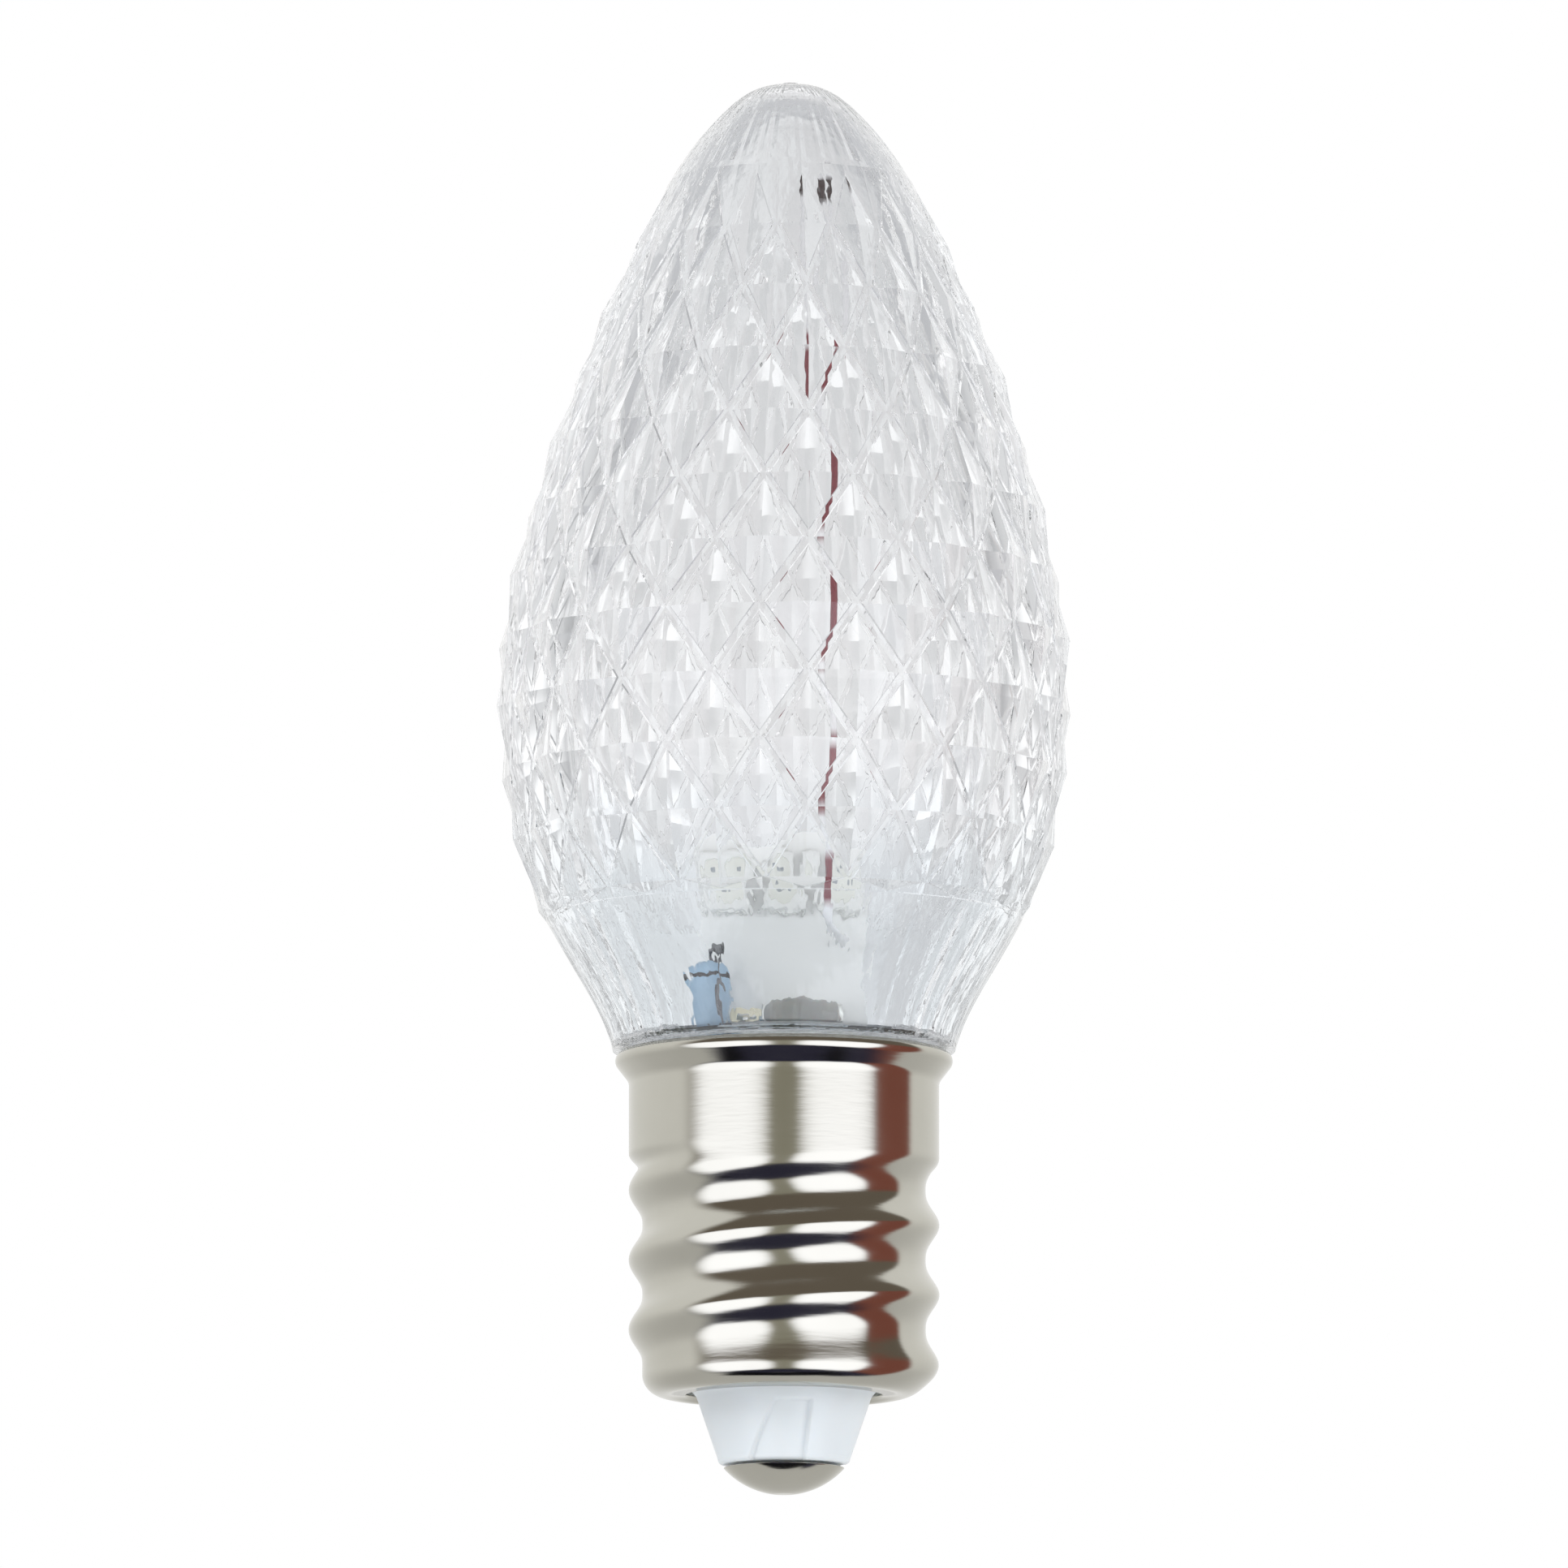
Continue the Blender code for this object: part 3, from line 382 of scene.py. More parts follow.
for vertex in shell.data.vertices:
    radius = math.hypot(vertex.co.x, vertex.co.y)
    turn = math.atan2(vertex.co.y, vertex.co.x) / (2 * math.pi)
    turns_up = (vertex.co.z - crest_height) / thread_pitch - turn
    crest = ((1 + math.cos(2 * math.pi * turns_up)) / 2) ** groove_breadth
    if turns_up < thread_start:
        crest = 0.0
    elif turns_up < thread_start + 1:
        crest *= first_crest * step(turn, -0.5, -0.4) + (1 - first_crest) * step(turn, -0.15, 0.03)
    elif turns_up > thread_end:
        crest = 1 - (1 - crest) * (1 - step(turn, -0.5, -0.3))
    fade = step(thread_top - vertex.co.z, 0.0, thread_fade) * min(
        1.0, max(0.0, (radius - lip_flat_radius) / (thread_radius - lip_flat_radius))
    )
    rolled = radius - thread_depth * (1 - crest) * fade
    vertex.co.x *= rolled / radius
    vertex.co.y *= rolled / radius
sheet = shell.modifiers.new("sheet", "SOLIDIFY")
sheet.thickness = shell_sheet
sheet.offset = -1.0
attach(shell, "root")
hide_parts("screw_shell")

# Board
# A white-masked fibreglass board that stands upright in the insulator and carries everything else.
# Its plain plate stays as it is; the tinned pads under the joints are laid on it.
board_low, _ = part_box("led_board")
board_front = board_low[1]
pad_thickness = 0.00004

board_mask, tree, shader = material_nodes("board_mask")
shader.inputs["Base Color"].default_value = (0.93, 0.93, 0.92, 1.0)
mottled(shader, "Roughness", noise(tree, 700.0), 0.32, 0.45)
bump(shader, noise(tree, 1400.0, 1.0, (1.0, 1.0, 0.3)), 0.10, 0.00002)
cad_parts["led_board"].data.materials[0] = board_mask


def tinned(name, bright, shade, rough):
    """Tin or solder: a cool metal, mottled where it has set."""
    material, tree, shader = material_nodes(name)
    shader.inputs["Metallic"].default_value = 1.0
    clouds = noise(tree, 1100.0, 4.0)
    mottled(shader, "Base Color", clouds, shade, bright)
    mottled(shader, "Roughness", clouds, rough + 0.14, rough)
    bump(shader, noise(tree, 2600.0), 0.15, 0.00001)
    return material


def stacked(name, loops, centre, facing, steps, material, sharp):
    """Faces through loops of (depth, half width, half height, squareness), closed at both ends."""
    work = bmesh.new()
    rings = []
    for depth, half_width, half_height, squareness in loops:
        corners = []
        for i in range(steps):
            angle = 2 * math.pi * (i + 0.5) / steps
            across = abs(math.cos(angle)) / half_width
            upward = abs(math.sin(angle)) / half_height
            reach = (across**squareness + upward**squareness) ** (-1 / squareness)
            x, z = centre[0] + reach * math.cos(angle), centre[2] + reach * math.sin(angle)
            corners.append(work.verts.new((x, centre[1] + facing * depth, z)))
        rings.append(corners)
    bridge(work, rings)
    work.faces.new(rings[0])
    work.faces.new(rings[-1])
    return finished(name, work, material, sharp)


def block(name, size, centre, material, squareness, ease, facing=-1, steps=64):
    """A block with rounded corners, whose outer end, towards the camera or away, is eased over."""
    width, depth, height = size
    loops = [(0.0, width / 2, height / 2, squareness)]
    for degrees in range(0, 91, 15):
        turn = math.radians(degrees)
        inset = ease - ease * math.cos(turn)
        along = depth - ease + ease * math.sin(turn)
        loops.append((along, width / 2 - inset, height / 2 - inset, squareness))
    return stacked(name, loops, centre, facing, steps, material, 50.0)


pad_metal = tinned("pad_tin", (0.84, 0.80, 0.66), (0.76, 0.70, 0.52), 0.20)

# LEDs
# Three moulded packages side by side at the top of each face of the board: a white frame with a
# round cup, a chip on its floor, a clear gel over it, and a tinned terminal under each short end.
led_names = [f"led_{face}_{number}" for face in ("front", "back") for number in (1, 2, 3)]
led_low, led_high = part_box("led_front_1")
led_width = led_high[0] - led_low[0]
led_depth = led_high[1] - led_low[1]
led_length = led_high[2] - led_low[2]
terminal_width = 0.0011
terminal_height = 0.00030
terminal_reach = 0.00010
terminal_share = 0.55
terminal_ease = 0.00005
terminal_squareness = 16.0
led_ease = 0.00006
led_squareness = 14.0
round_squareness = 2.0
cup_radius = 0.00062
cup_floor_radius = 0.00048
cup_depth = 0.00026
gel_drop = 0.00003
gel_play = 0.00003
gel_ease = 0.00008
chip_width = 0.00026
chip_stand = 0.00001
chip_ease = 0.00002
chip_squareness = 10.0

led_frame, tree, shader = material_nodes("led_frame")
mottled(shader, "Base Color", noise(tree, 900.0), (0.84, 0.84, 0.82), (0.88, 0.88, 0.87))
shader.inputs["Roughness"].default_value = 0.45
bump(shader, noise(tree, 3000.0), 0.08, 0.00001)
led_gel, tree, shader = material_nodes("led_gel")
mottled(shader, "Base Color", noise(tree, 1300.0), (0.80, 0.80, 0.74), (0.84, 0.84, 0.80))
shader.inputs["Roughness"].default_value = 0.12
shader.inputs["Coat Weight"].default_value = 0.5
led_chip, tree, shader = material_nodes("led_chip")
chip_grain = noise(tree, 4000.0)
mottled(shader, "Base Color", chip_grain, (0.30, 0.32, 0.36), (0.42, 0.44, 0.46), 0.4, 0.6)
shader.inputs["Roughness"].default_value = 0.25
terminal_metal = tinned("terminal_tin", (0.86, 0.86, 0.84), (0.74, 0.74, 0.71), 0.24)
gel_width = 2 * (cup_radius - gel_play)
gel_size = (gel_width, cup_depth - gel_drop, gel_width)
chip_size = (chip_width, gel_size[1] + chip_stand, chip_width)
terminal_size = (terminal_width, led_depth * terminal_share, terminal_height)
half_width, half_length = led_width / 2, led_length / 2 - terminal_reach
led_loops = [
    (0.0, half_width, half_length, led_squareness),
    (led_depth - led_ease, half_width, half_length, led_squareness),
    (led_depth, half_width - led_ease, half_length - led_ease, led_squareness),
    (led_depth, cup_radius, cup_radius, round_squareness),
    (led_depth - cup_depth, cup_floor_radius, cup_floor_radius, round_squareness),
]
for led_name in led_names:
    low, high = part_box(led_name)
    facing = -1 if "front" in led_name else 1
    seat = high[1] if facing < 0 else low[1]
    centre = ((low[0] + high[0]) / 2, seat, (low[2] + high[2]) / 2)
    body = stacked(f"{led_name}_frame", led_loops, centre, facing, 64, led_frame, 40.0)
    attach(body, "root")
    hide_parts(led_name)
    cup_floor = (centre[0], seat + facing * (led_depth - cup_depth), centre[2])
    gel = block(
        f"{led_name}_gel", gel_size, cup_floor, led_gel, round_squareness, gel_ease, facing, 40
    )
    chip = block(
        f"{led_name}_chip", chip_size, cup_floor, led_chip, chip_squareness, chip_ease, facing, 24
    )
    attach(gel, "root")
    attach(chip, "root")
    for end, side in (("lower", -1), ("upper", 1)):
        terminal = block(
            f"{led_name}_{end}_terminal",
            terminal_size,
            (centre[0], seat, centre[2] + side * (led_length - terminal_height) / 2),
            terminal_metal,
            terminal_squareness,
            terminal_ease,
            facing,
            40,
        )
        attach(terminal, "root")

# Dropper resistor
# A metal-film resistor on its end at the board's left edge: a ceramic rod with a press-fitted cap
# at each end, dipped in pale blue lacquer that runs thinner between them, with two dark bands.
resistor_low, resistor_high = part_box("dropper_resistor")
resistor_x = (resistor_low[0] + resistor_high[0]) / 2
resistor_y = (resistor_low[1] + resistor_high[1]) / 2
resistor_radius = (resistor_high[0] - resistor_low[0]) / 2
resistor_waist = 0.00066
resistor_cap = 0.0010
resistor_ease = 0.00034
band_width = 0.00016
band_drop = 0.00045


def along_height(tree, low, high):
    """A factor that runs from 0 at a low height to 1 at a high one."""
    place = tree.nodes.new("ShaderNodeTexCoord")
    split = tree.nodes.new("ShaderNodeSeparateXYZ")
    tree.links.new(place.outputs["Object"], split.inputs[0])
    height = tree.nodes.new("ShaderNodeMapRange")
    height.inputs["From Min"].default_value = low
    height.inputs["From Max"].default_value = high
    tree.links.new(split.outputs["Z"], height.inputs["Value"])
    return height.outputs["Result"]


resistor_lacquer, tree, shader = material_nodes("resistor_lacquer")
resistor_length = resistor_high[2] - resistor_low[2]
blue, dark = (0.36, 0.52, 0.68), (0.02, 0.015, 0.018)
band_start = band_drop / resistor_length
band_end = (band_drop + band_width) / resistor_length
stops = [(0.0, blue), (band_start, dark), (band_end, blue)]
stops += [(1 - band_end, dark), (1 - band_start, blue)]
bands = ramp(tree, along_height(tree, resistor_low[2], resistor_high[2]), stops)
bands.node.color_ramp.interpolation = "CONSTANT"
tree.links.new(bands, shader.inputs["Base Color"])
mottled(shader, "Roughness", noise(tree, 800.0), 0.22, 0.34)
bump(shader, noise(tree, 1500.0), 0.15, 0.00002)
resistor_top, resistor_bottom = resistor_high[2], resistor_low[2]
resistor = lathe(
    "resistor_body",
    eased(
        [
            (0.0, resistor_top),
            (resistor_radius, resistor_top),
            (resistor_radius, resistor_top - resistor_cap),
            (resistor_waist, resistor_top - resistor_cap - resistor_ease),
            (resistor_waist, resistor_bottom + resistor_cap + resistor_ease),
            (resistor_radius, resistor_bottom + resistor_cap),
            (resistor_radius, resistor_bottom),
            (0.0, resistor_bottom),
        ],
        resistor_ease,
        6,
    ),
    48,
    resistor_lacquer,
)
resistor.data.transform(Matrix.Translation((resistor_x, resistor_y, 0.0)))
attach(resistor, "root")
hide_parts("dropper_resistor")

# Wires
# Tinned copper wires, bent by hand before they are soldered: the resistor's two leads, the lead to
# the screw shell and the lead down to the centre contact.
lead_radius = 0.00010
lead_bend = 0.00055
hairpin_spacing = 0.00125
hairpin_turn = math.radians(18)
hairpin_rise = 0.0005
hairpin_drop = 0.0011
hairpin_bow = 0.0001
hairpin_climb = 0.0003

lead_metal = tinned("lead_tin", (0.16, 0.16, 0.17), (0.10, 0.10, 0.11), 0.22)


def wire(name, corners, radius, metal):
    """A round wire along straight runs with rounded bends."""
    route = eased(corners, lead_bend, 8, 0.5)
    curve = bpy.data.curves.new(name, "CURVE")
    curve.dimensions = "3D"
    curve.fill_mode = "FULL"
    curve.bevel_depth = radius
    curve.bevel_resolution = 5
    curve.use_fill_caps = True
    spline = curve.splines.new("POLY")
    spline.points.add(len(route) - 1)
    spline.use_smooth = True
    for point, corner in zip(spline.points, route):
        point.co = (*corner, 1.0)
    curve.materials.append(metal)
    piece = placed(name, curve)
    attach(piece, "root")
    return piece


cad_lead_radius = 0.0002
upper_low, upper_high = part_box("dropper_resistor_upper_lead")
lower_low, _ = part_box("dropper_resistor_lower_lead")
shell_lead_low, shell_lead_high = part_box("shell_lead")
tip_lead_low, tip_lead_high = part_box("tip_lead")
hairpin_x = resistor_x + hairpin_spacing * math.sin(hairpin_turn)
hairpin_y = resistor_y - hairpin_spacing * math.cos(hairpin_turn)
hairpin_top = resistor_top + hairpin_rise
hairpin_foot = resistor_bottom + hairpin_drop
upper_joint = (upper_high[0] - cad_lead_radius, upper_low[2] + cad_lead_radius)
lower_joint_height = lower_low[2] + cad_lead_radius
shell_lead_x = shell_lead_low[0] + cad_lead_radius
shell_lead_y = shell_lead_low[1] + cad_lead_radius
shell_lead_top = shell_lead_high[2] - cad_lead_radius
shell_lead_foot = shell_lead_low[2] + cad_lead_radius
lead_routes = {
    "dropper_resistor_upper_lead": (
        "resistor_upper_wire",
        [
            (resistor_x, resistor_y, resistor_top),
            (resistor_x, resistor_y, hairpin_top),
            (hairpin_x, hairpin_y, hairpin_top),
            (hairpin_x - hairpin_bow, hairpin_y, (hairpin_top + hairpin_foot) / 2),
            (hairpin_x, hairpin_y, hairpin_foot),
            (upper_joint[0], hairpin_y, hairpin_foot + hairpin_climb),
            (upper_joint[0], board_front, upper_joint[1]),
        ],
    ),
    "dropper_resistor_lower_lead": (
        "resistor_lower_wire",
        [
            (resistor_x, resistor_y, resistor_bottom),
            (resistor_x, resistor_y, lower_joint_height),
            (resistor_x, board_front, lower_joint_height),
        ],
    ),
    "shell_lead": (
        "shell_wire",
        [
            (shell_lead_x, board_front, shell_lead_top),
            (shell_lead_x, shell_lead_y, shell_lead_top),
            (shell_lead_x, shell_lead_y, shell_lead_foot),
            (shell_lead_high[0], shell_lead_y, shell_lead_foot),
        ],
    ),
    "tip_lead": ("tip_wire", [(0.0, 0.0, tip_lead_high[2]), (0.0, 0.0, tip_lead_low[2])]),
}
for node, (name, route) in lead_routes.items():
    piece = wire(name, route, lead_radius, lead_metal)
    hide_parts(node)

# Banded wire
# A thin pale wire that leaves the front of the board and runs up close behind the front of the
# lens, with bands painted on it at each row of pyramids: red ones, and a dark brown one at the top.
# It is what the row of red marks may be. The bands are painted reflections of red-brown and dark
# surroundings in the facets.
banded_wire_radius = 0.00015
banded_wire_x = 0.00156
banded_wire_top = 0.0506
reflection_marks = (
    (0.0219, 0.0232),
    (0.0252, 0.0275),
    (0.0306, 0.0337),
    (0.0356, 0.0386),
    (0.0412, 0.0431),
    (0.0495, 0.0504),
)
mark_edge = 0.0003
# Painted reflections: red bands, and a dark brown band at the top, on an otherwise pale wire.
wire_pale, reflected_red = (0.84, 0.84, 0.86), (0.20, 0.035, 0.048)
reflected_dark_brown = (0.035, 0.018, 0.018)
painted_reflection_bands, tree, shader = material_nodes("painted_reflection_bands")
stops = []
for low, high in reflection_marks:
    colour = reflected_dark_brown if (low, high) == reflection_marks[-1] else reflected_red
    stops += [(low - mark_edge, wire_pale), (low, colour)]
    stops += [(high, colour), (high + mark_edge, wire_pale)]
stops = [(height / banded_wire_top, colour) for height, colour in stops]
reflection_ramp = ramp(tree, along_height(tree, 0.0, banded_wire_top), stops)
tree.links.new(reflection_ramp, shader.inputs["Base Color"])
shader.inputs["Roughness"].default_value = 0.25
bump(shader, noise(tree, 2500.0), 0.1, 0.00001)
wire(
    "reflection_banded_wire",
    [
        (0.0022, board_front, 0.0210),
        (0.0018, -0.0045, 0.0210),
        (banded_wire_x, -0.0064, 0.0212),
        (banded_wire_x, -0.0072, 0.0240),
        (banded_wire_x, -0.0078, 0.0300),
        (banded_wire_x, -0.0070, 0.0365),
        (banded_wire_x, -0.0044, 0.0430),
        (banded_wire_x, -0.0012, 0.0485),
        (banded_wire_x, -0.0002, banded_wire_top),
    ],
    banded_wire_radius,
    painted_reflection_bands,
)

# Solder joints
# Small bright fillets of solder, drawn up round each lead by its own surface, on a tinned pad of
# the board, inside the screw shell and in the hollow stem of the centre contact.
solder_radius = 0.00040
solder_height = 0.00035
pad_width = 0.00116
pad_height = 0.0010
pad_squareness = 4.0
fillet_spread = 1.4
fillet_climb = 1.2
solder_metal = tinned("solder_tin", (0.86, 0.86, 0.85), (0.66, 0.66, 0.64), 0.12)
solder_outline = [
    (0.0, solder_height + lead_radius * 0.4),
    (lead_radius * 0.8, solder_height + lead_radius * 0.2),
]
for i in range(9):
    turn = math.radians(90 * i / 8)
    solder_outline.append(
        (
            solder_radius - (solder_radius - lead_radius) * math.cos(turn) ** fillet_spread,
            solder_height * (1 - math.sin(turn)) ** fillet_climb,
        )
    )
solder_outline.append((0.0, 0.0))
joints = (
    ("resistor_upper_solder", "board", (upper_joint[0], board_front, upper_joint[1])),
    ("resistor_lower_solder", "board", (resistor_x, board_front, lower_joint_height)),
    ("shell_lead_solder", "board", (shell_lead_x, board_front, shell_lead_top)),
    ("shell_solder", "shell", (shell_lead_high[0], shell_lead_y, shell_lead_foot)),
    ("contact_solder", "contact", (0.0, 0.0, contact_top)),
)
turns = {
    "board": Matrix.Rotation(math.radians(90), 4, "X"),
    "shell": Matrix.Rotation(math.radians(-90), 4, "Y"),
    "contact": Matrix.Identity(4),
}
for node, carrier, place in joints:
    joint = lathe(f"{node}_fillet", solder_outline, 40, solder_metal)
    joint.data.transform(Matrix.Translation(place) @ turns[carrier])
    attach(joint, "root")
    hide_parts(node)
    if carrier == "board":
        pad_size = (pad_width, pad_thickness, pad_height)
        pad_ease = pad_thickness / 2
        pad = block(f"{node}_pad", pad_size, place, pad_metal, pad_squareness, pad_ease, steps=40)
        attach(pad, "root")

# Chip capacitor
# A lump of grey glazed ceramic, soldered flat on the board beside the resistor's upper joint, with
# a silvered cap on each end.
capacitor_low, capacitor_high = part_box("chip_capacitor")
capacitor_inset = 0.00015
capacitor_ease = 0.0006
capacitor_squareness = 3.2
cap_width = 0.00045
cap_depth_share = 0.62
cap_height_share = 0.72
cap_ease = 0.00012
cap_squareness = 5.0
capacitor_glaze, tree, shader = material_nodes("capacitor_glaze")
glaze_clouds = noise(tree, 600.0, 4.0)
mottled(shader, "Base Color", glaze_clouds, (0.30, 0.30, 0.285), (0.42, 0.42, 0.40))
shader.inputs["Subsurface Weight"].default_value = 0.3
shader.inputs["Subsurface Scale"].default_value = 0.0004
shader.inputs["Coat Weight"].default_value = 0.4
mottled(shader, "Roughness", noise(tree, 900.0), 0.18, 0.30)
bump(shader, noise(tree, 1200.0), 0.2, 0.00003)
capacitor_centre = [(low + high) / 2 for low, high in zip(capacitor_low, capacitor_high)]
capacitor_size = [high - low for low, high in zip(capacitor_low, capacitor_high)]
capacitor = block(
    "capacitor_body",
    (capacitor_size[0] - 2 * capacitor_inset, capacitor_size[1], capacitor_size[2]),
    (capacitor_centre[0], capacitor_high[1], capacitor_centre[2]),
    capacitor_glaze,
    capacitor_squareness,
    capacitor_ease,
    steps=96,
)
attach(capacitor, "root")
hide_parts("chip_capacitor")
for side, place in ((-1, capacitor_low[0]), (1, capacitor_high[0])):
    cap_piece = block(
        f"capacitor_cap_{'left' if side < 0 else 'right'}",
        (cap_width, capacitor_size[1] * cap_depth_share, capacitor_size[2] * cap_height_share),
        (place - side * cap_width / 2, capacitor_high[1], capacitor_centre[2]),
        terminal_metal,
        cap_squareness,
        cap_ease,
        steps=48,
    )
    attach(cap_piece, "root")

# Rectifier
# A bridge of four diodes in one black epoxy package on the back of the board, with a gull-wing pin
# at each corner. Its plain forms are right as they are and get their finish here.
rectifier_epoxy, tree, shader = material_nodes("rectifier_epoxy")
epoxy_clouds = noise(tree, 1200.0, 4.0)
mottled(shader, "Base Color", epoxy_clouds, (0.018, 0.018, 0.019), (0.032, 0.032, 0.033))
shader.inputs["Roughness"].default_value = 0.5
bump(shader, noise(tree, 3500.0, 2.0), 0.3, 0.00002)
pin_metal = tinned("pin_tin", (0.80, 0.80, 0.79), (0.66, 0.66, 0.64), 0.22)
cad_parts["bridge_rectifier"].data.materials[0] = rectifier_epoxy
for number in (1, 2, 3, 4):
    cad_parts[f"rectifier_pin_{number}"].data.materials[0] = pin_metal

# Lens
# Clear plastic, injection-moulded in one piece and glued at its neck: a candle-shaped shell, smooth
# inside, with a lattice of low pyramids outside, eighteen round, parted by flat channels, and with
# fine flutes above and below it. It leans a little to the right above its belly.
lens_low, lens_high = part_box("lens_cover")
lens_tip = lens_high[2]
neck_bottom = lens_low[2]
lens_gap = 0.0001
lens_foot = rim_top + lens_gap
foot_radius = rim_radius + lens_gap
lens_radius = 0.01083
belly_height = 0.0143
foot_slope = math.radians(74)
foot_ease = 0.0041
belly_ease_down = 0.0098
belly_ease_up = 0.0051
shoulder_radius = 0.0034
shoulder_drop = 0.0020
shoulder_slope = math.radians(50)
shoulder_ease_down = 0.0048
shoulder_ease_up = 0.0024
tip_ease = 0.0012
gate_radius = 0.0004
gate_height = 0.00006
lens_wall = 0.0012
lens_lean = 0.00025
lean_height = 0.015
neck_radius = 0.005325
neck_bore = 0.004425
neck_taper = 0.0005
foot_blend = 0.0030
flute_depth = 0.000016
flute_start = 0.0006
flute_end = 0.0008
flutes = (29, 47, 71)
crown_fluting = 0.55
diamonds_round = 18
diamond_row = 0.00254
lattice_start = 0.0054
lattice_end = 0.0004
crown_height = 0.0028
lattice_fade = 0.0065
channel_fade = 0.0025
low_fade = 0.0040
low_share = 0.25
facet_relief = 0.000139
facet_foot = -0.00020
channel_depth = 0.00026
channel_half_width = 0.00014
channel_wall = 0.00004
smooth_columns_each = 8

lens_plastic, tree, shader = material_nodes("lens_plastic")
# The lens is tinted a little bluer and darker towards its foot and a little greyer towards its tip.
clear, tip_tint, foot_tint = (0.97, 0.972, 0.975), (0.945, 0.95, 0.955), (0.89, 0.915, 0.93)
stops = [(0.0, foot_tint), (0.14, foot_tint), (0.28, clear), (0.55, clear), (0.82, tip_tint), (1.0, tip_tint)]
tint = ramp(tree, along_height(tree, lens_foot, lens_tip), stops)
tree.links.new(tint, shader.inputs["Base Color"])
shader.inputs["Transmission Weight"].default_value = 1.0
shader.inputs["IOR"].default_value = 1.49
mottled(shader, "Roughness", noise(tree, 300.0), 0.02, 0.06, 0.35, 0.8)
streaks = tree.nodes.new("ShaderNodeMath")
streaks.operation = "MULTIPLY"
tree.links.new(noise(tree, 1500.0, 2.0, (1.0, 1.0, 0.10)), streaks.inputs[0])
stops = [(0.0, 1.0), (0.13, 1.0), (0.22, 0.12), (0.6, 0.15), (0.9, 1.0)]
stops = [(place, grey(share)) for place, share in stops]
streak_share = ramp(tree, along_height(tree, lens_foot, lens_tip), stops)
tree.links.new(streak_share, streaks.inputs[1])
bump(shader, streaks.outputs[0], 0.8, 0.00006)


def bezier(start, leave, arrive, end, steps):
    """Points on a cubic from start to end, without the end."""
    points = []
    for i in range(steps):
        t = i / steps
        weights = ((1 - t) ** 3, 3 * (1 - t) ** 2 * t, 3 * (1 - t) * t * t, t**3)
        shares = list(zip(weights, (start, leave, arrive, end)))
        points.append(tuple(sum(w * corner[axis] for w, corner in shares) for axis in (0, 1)))
    return points


dome_top = lens_tip - gate_height
shoulder = (shoulder_radius, dome_top - shoulder_drop)
belly = (lens_radius, lens_foot + belly_height)
foot = (foot_radius, lens_foot)
down = (math.cos(shoulder_slope), -math.sin(shoulder_slope))
out = (math.cos(foot_slope), math.sin(foot_slope))
lens_outline = [
    *bezier(
        (0.0, dome_top),
        (tip_ease, dome_top),
        (shoulder[0] - shoulder_ease_up * down[0], shoulder[1] - shoulder_ease_up * down[1]),
        shoulder,
        24,
    ),
    *bezier(
        shoulder,
        (shoulder[0] + shoulder_ease_down * down[0], shoulder[1] + shoulder_ease_down * down[1]),
        (belly[0], belly[1] + belly_ease_up),
        belly,
        60,
    ),
    *bezier(
        belly,
        (belly[0], belly[1] - belly_ease_down),
        (foot[0] + foot_ease * out[0], foot[1] + foot_ease * out[1]),
        foot,
        48,
    ),
    foot,
]


def radius_at(height):
    """Radius of the lens outline at a height, read between its points."""
    for (upper_radius, upper), (lower_radius, lower) in zip(lens_outline, lens_outline[1:]):
        if lower <= height <= upper and upper > lower:
            share = (height - lower) / (upper - lower)
            return lower_radius + share * (upper_radius - lower_radius)
    return foot_radius


first_row = lens_foot + lattice_start
regular_rows = int((dome_top - crown_height - first_row) / diamond_row)
rows = [first_row - lattice_end]
rows += [first_row + i * diamond_row for i in range(regular_rows + 1)]
top_row = len(rows) - 1
columns = 2 * diamonds_round
column_angle = math.pi / diamonds_round
work = bmesh.new()


def on_lens(column, height, lift):
    """A corner at a column and a height, lifted off the outline, less towards both ends."""
    angle = -math.pi / 2 + (column - 0.5) * column_angle
    fade = lattice_fade if lift > 0 else channel_fade
    share = min(1.0, (rows[-1] - height) / fade, low_share + (height - rows[0]) / low_fade)
    radius = radius_at(height) + lift * max(0.0, share)
    return work.verts.new(around(radius, angle, height))


def frame_of(column, middle, below, above, scale, lift):
    """The four corners of a diamond, drawn in towards its middle to a scale."""
    return [
        on_lens(column, middle - scale * below, lift),
        on_lens(column + scale, middle, lift),
        on_lens(column, middle + scale * above, lift),
        on_lens(column - scale, middle, lift),
    ]


lattice = {}
for row, height in enumerate(rows):
    for column in range(columns):
        if (row + column) % 2 == 1 or row in (0, top_row):
            lattice[row, column] = on_lens(column, height, -channel_depth)
for row in range(1, top_row):
    middle = rows[row]
    below, above = middle - rows[row - 1], rows[row + 1] - middle
    half_width = radius_at(middle) * column_angle
    to_side = half_width * above / math.hypot(half_width, above)
    floor_scale = 1.0 - channel_half_width / to_side
    facet_scale = 1.0 - (channel_half_width + channel_wall) / to_side
    for column in range(row % 2, columns, 2):
        nodes = [
            lattice[row - 1, column],
            lattice[row, (column + 1) % columns],
            lattice[row + 1, column],
            lattice[row, (column - 1) % columns],
        ]
        channel = frame_of(column, middle, below, above, floor_scale, -channel_depth)
        facet = frame_of(column, middle, below, above, facet_scale, facet_foot)
        apex = on_lens(column, middle, facet_relief)
        for side in range(4):
            following = (side + 1) % 4
            for outer, inner in ((nodes, channel), (channel, facet)):
                work.faces.new((outer[side], outer[following], inner[following], inner[side]))
            work.faces.new((facet[side], facet[following], apex))
for row, neighbour in ((0, 1), (top_row, top_row - 1)):
    for column in range(columns):
        if (neighbour + column) % 2 == 1:
            for offset in (-1, 1):
                edge = lattice[row, (column + offset) % columns]
                work.faces.new((lattice[row, column], edge, lattice[neighbour, column]))


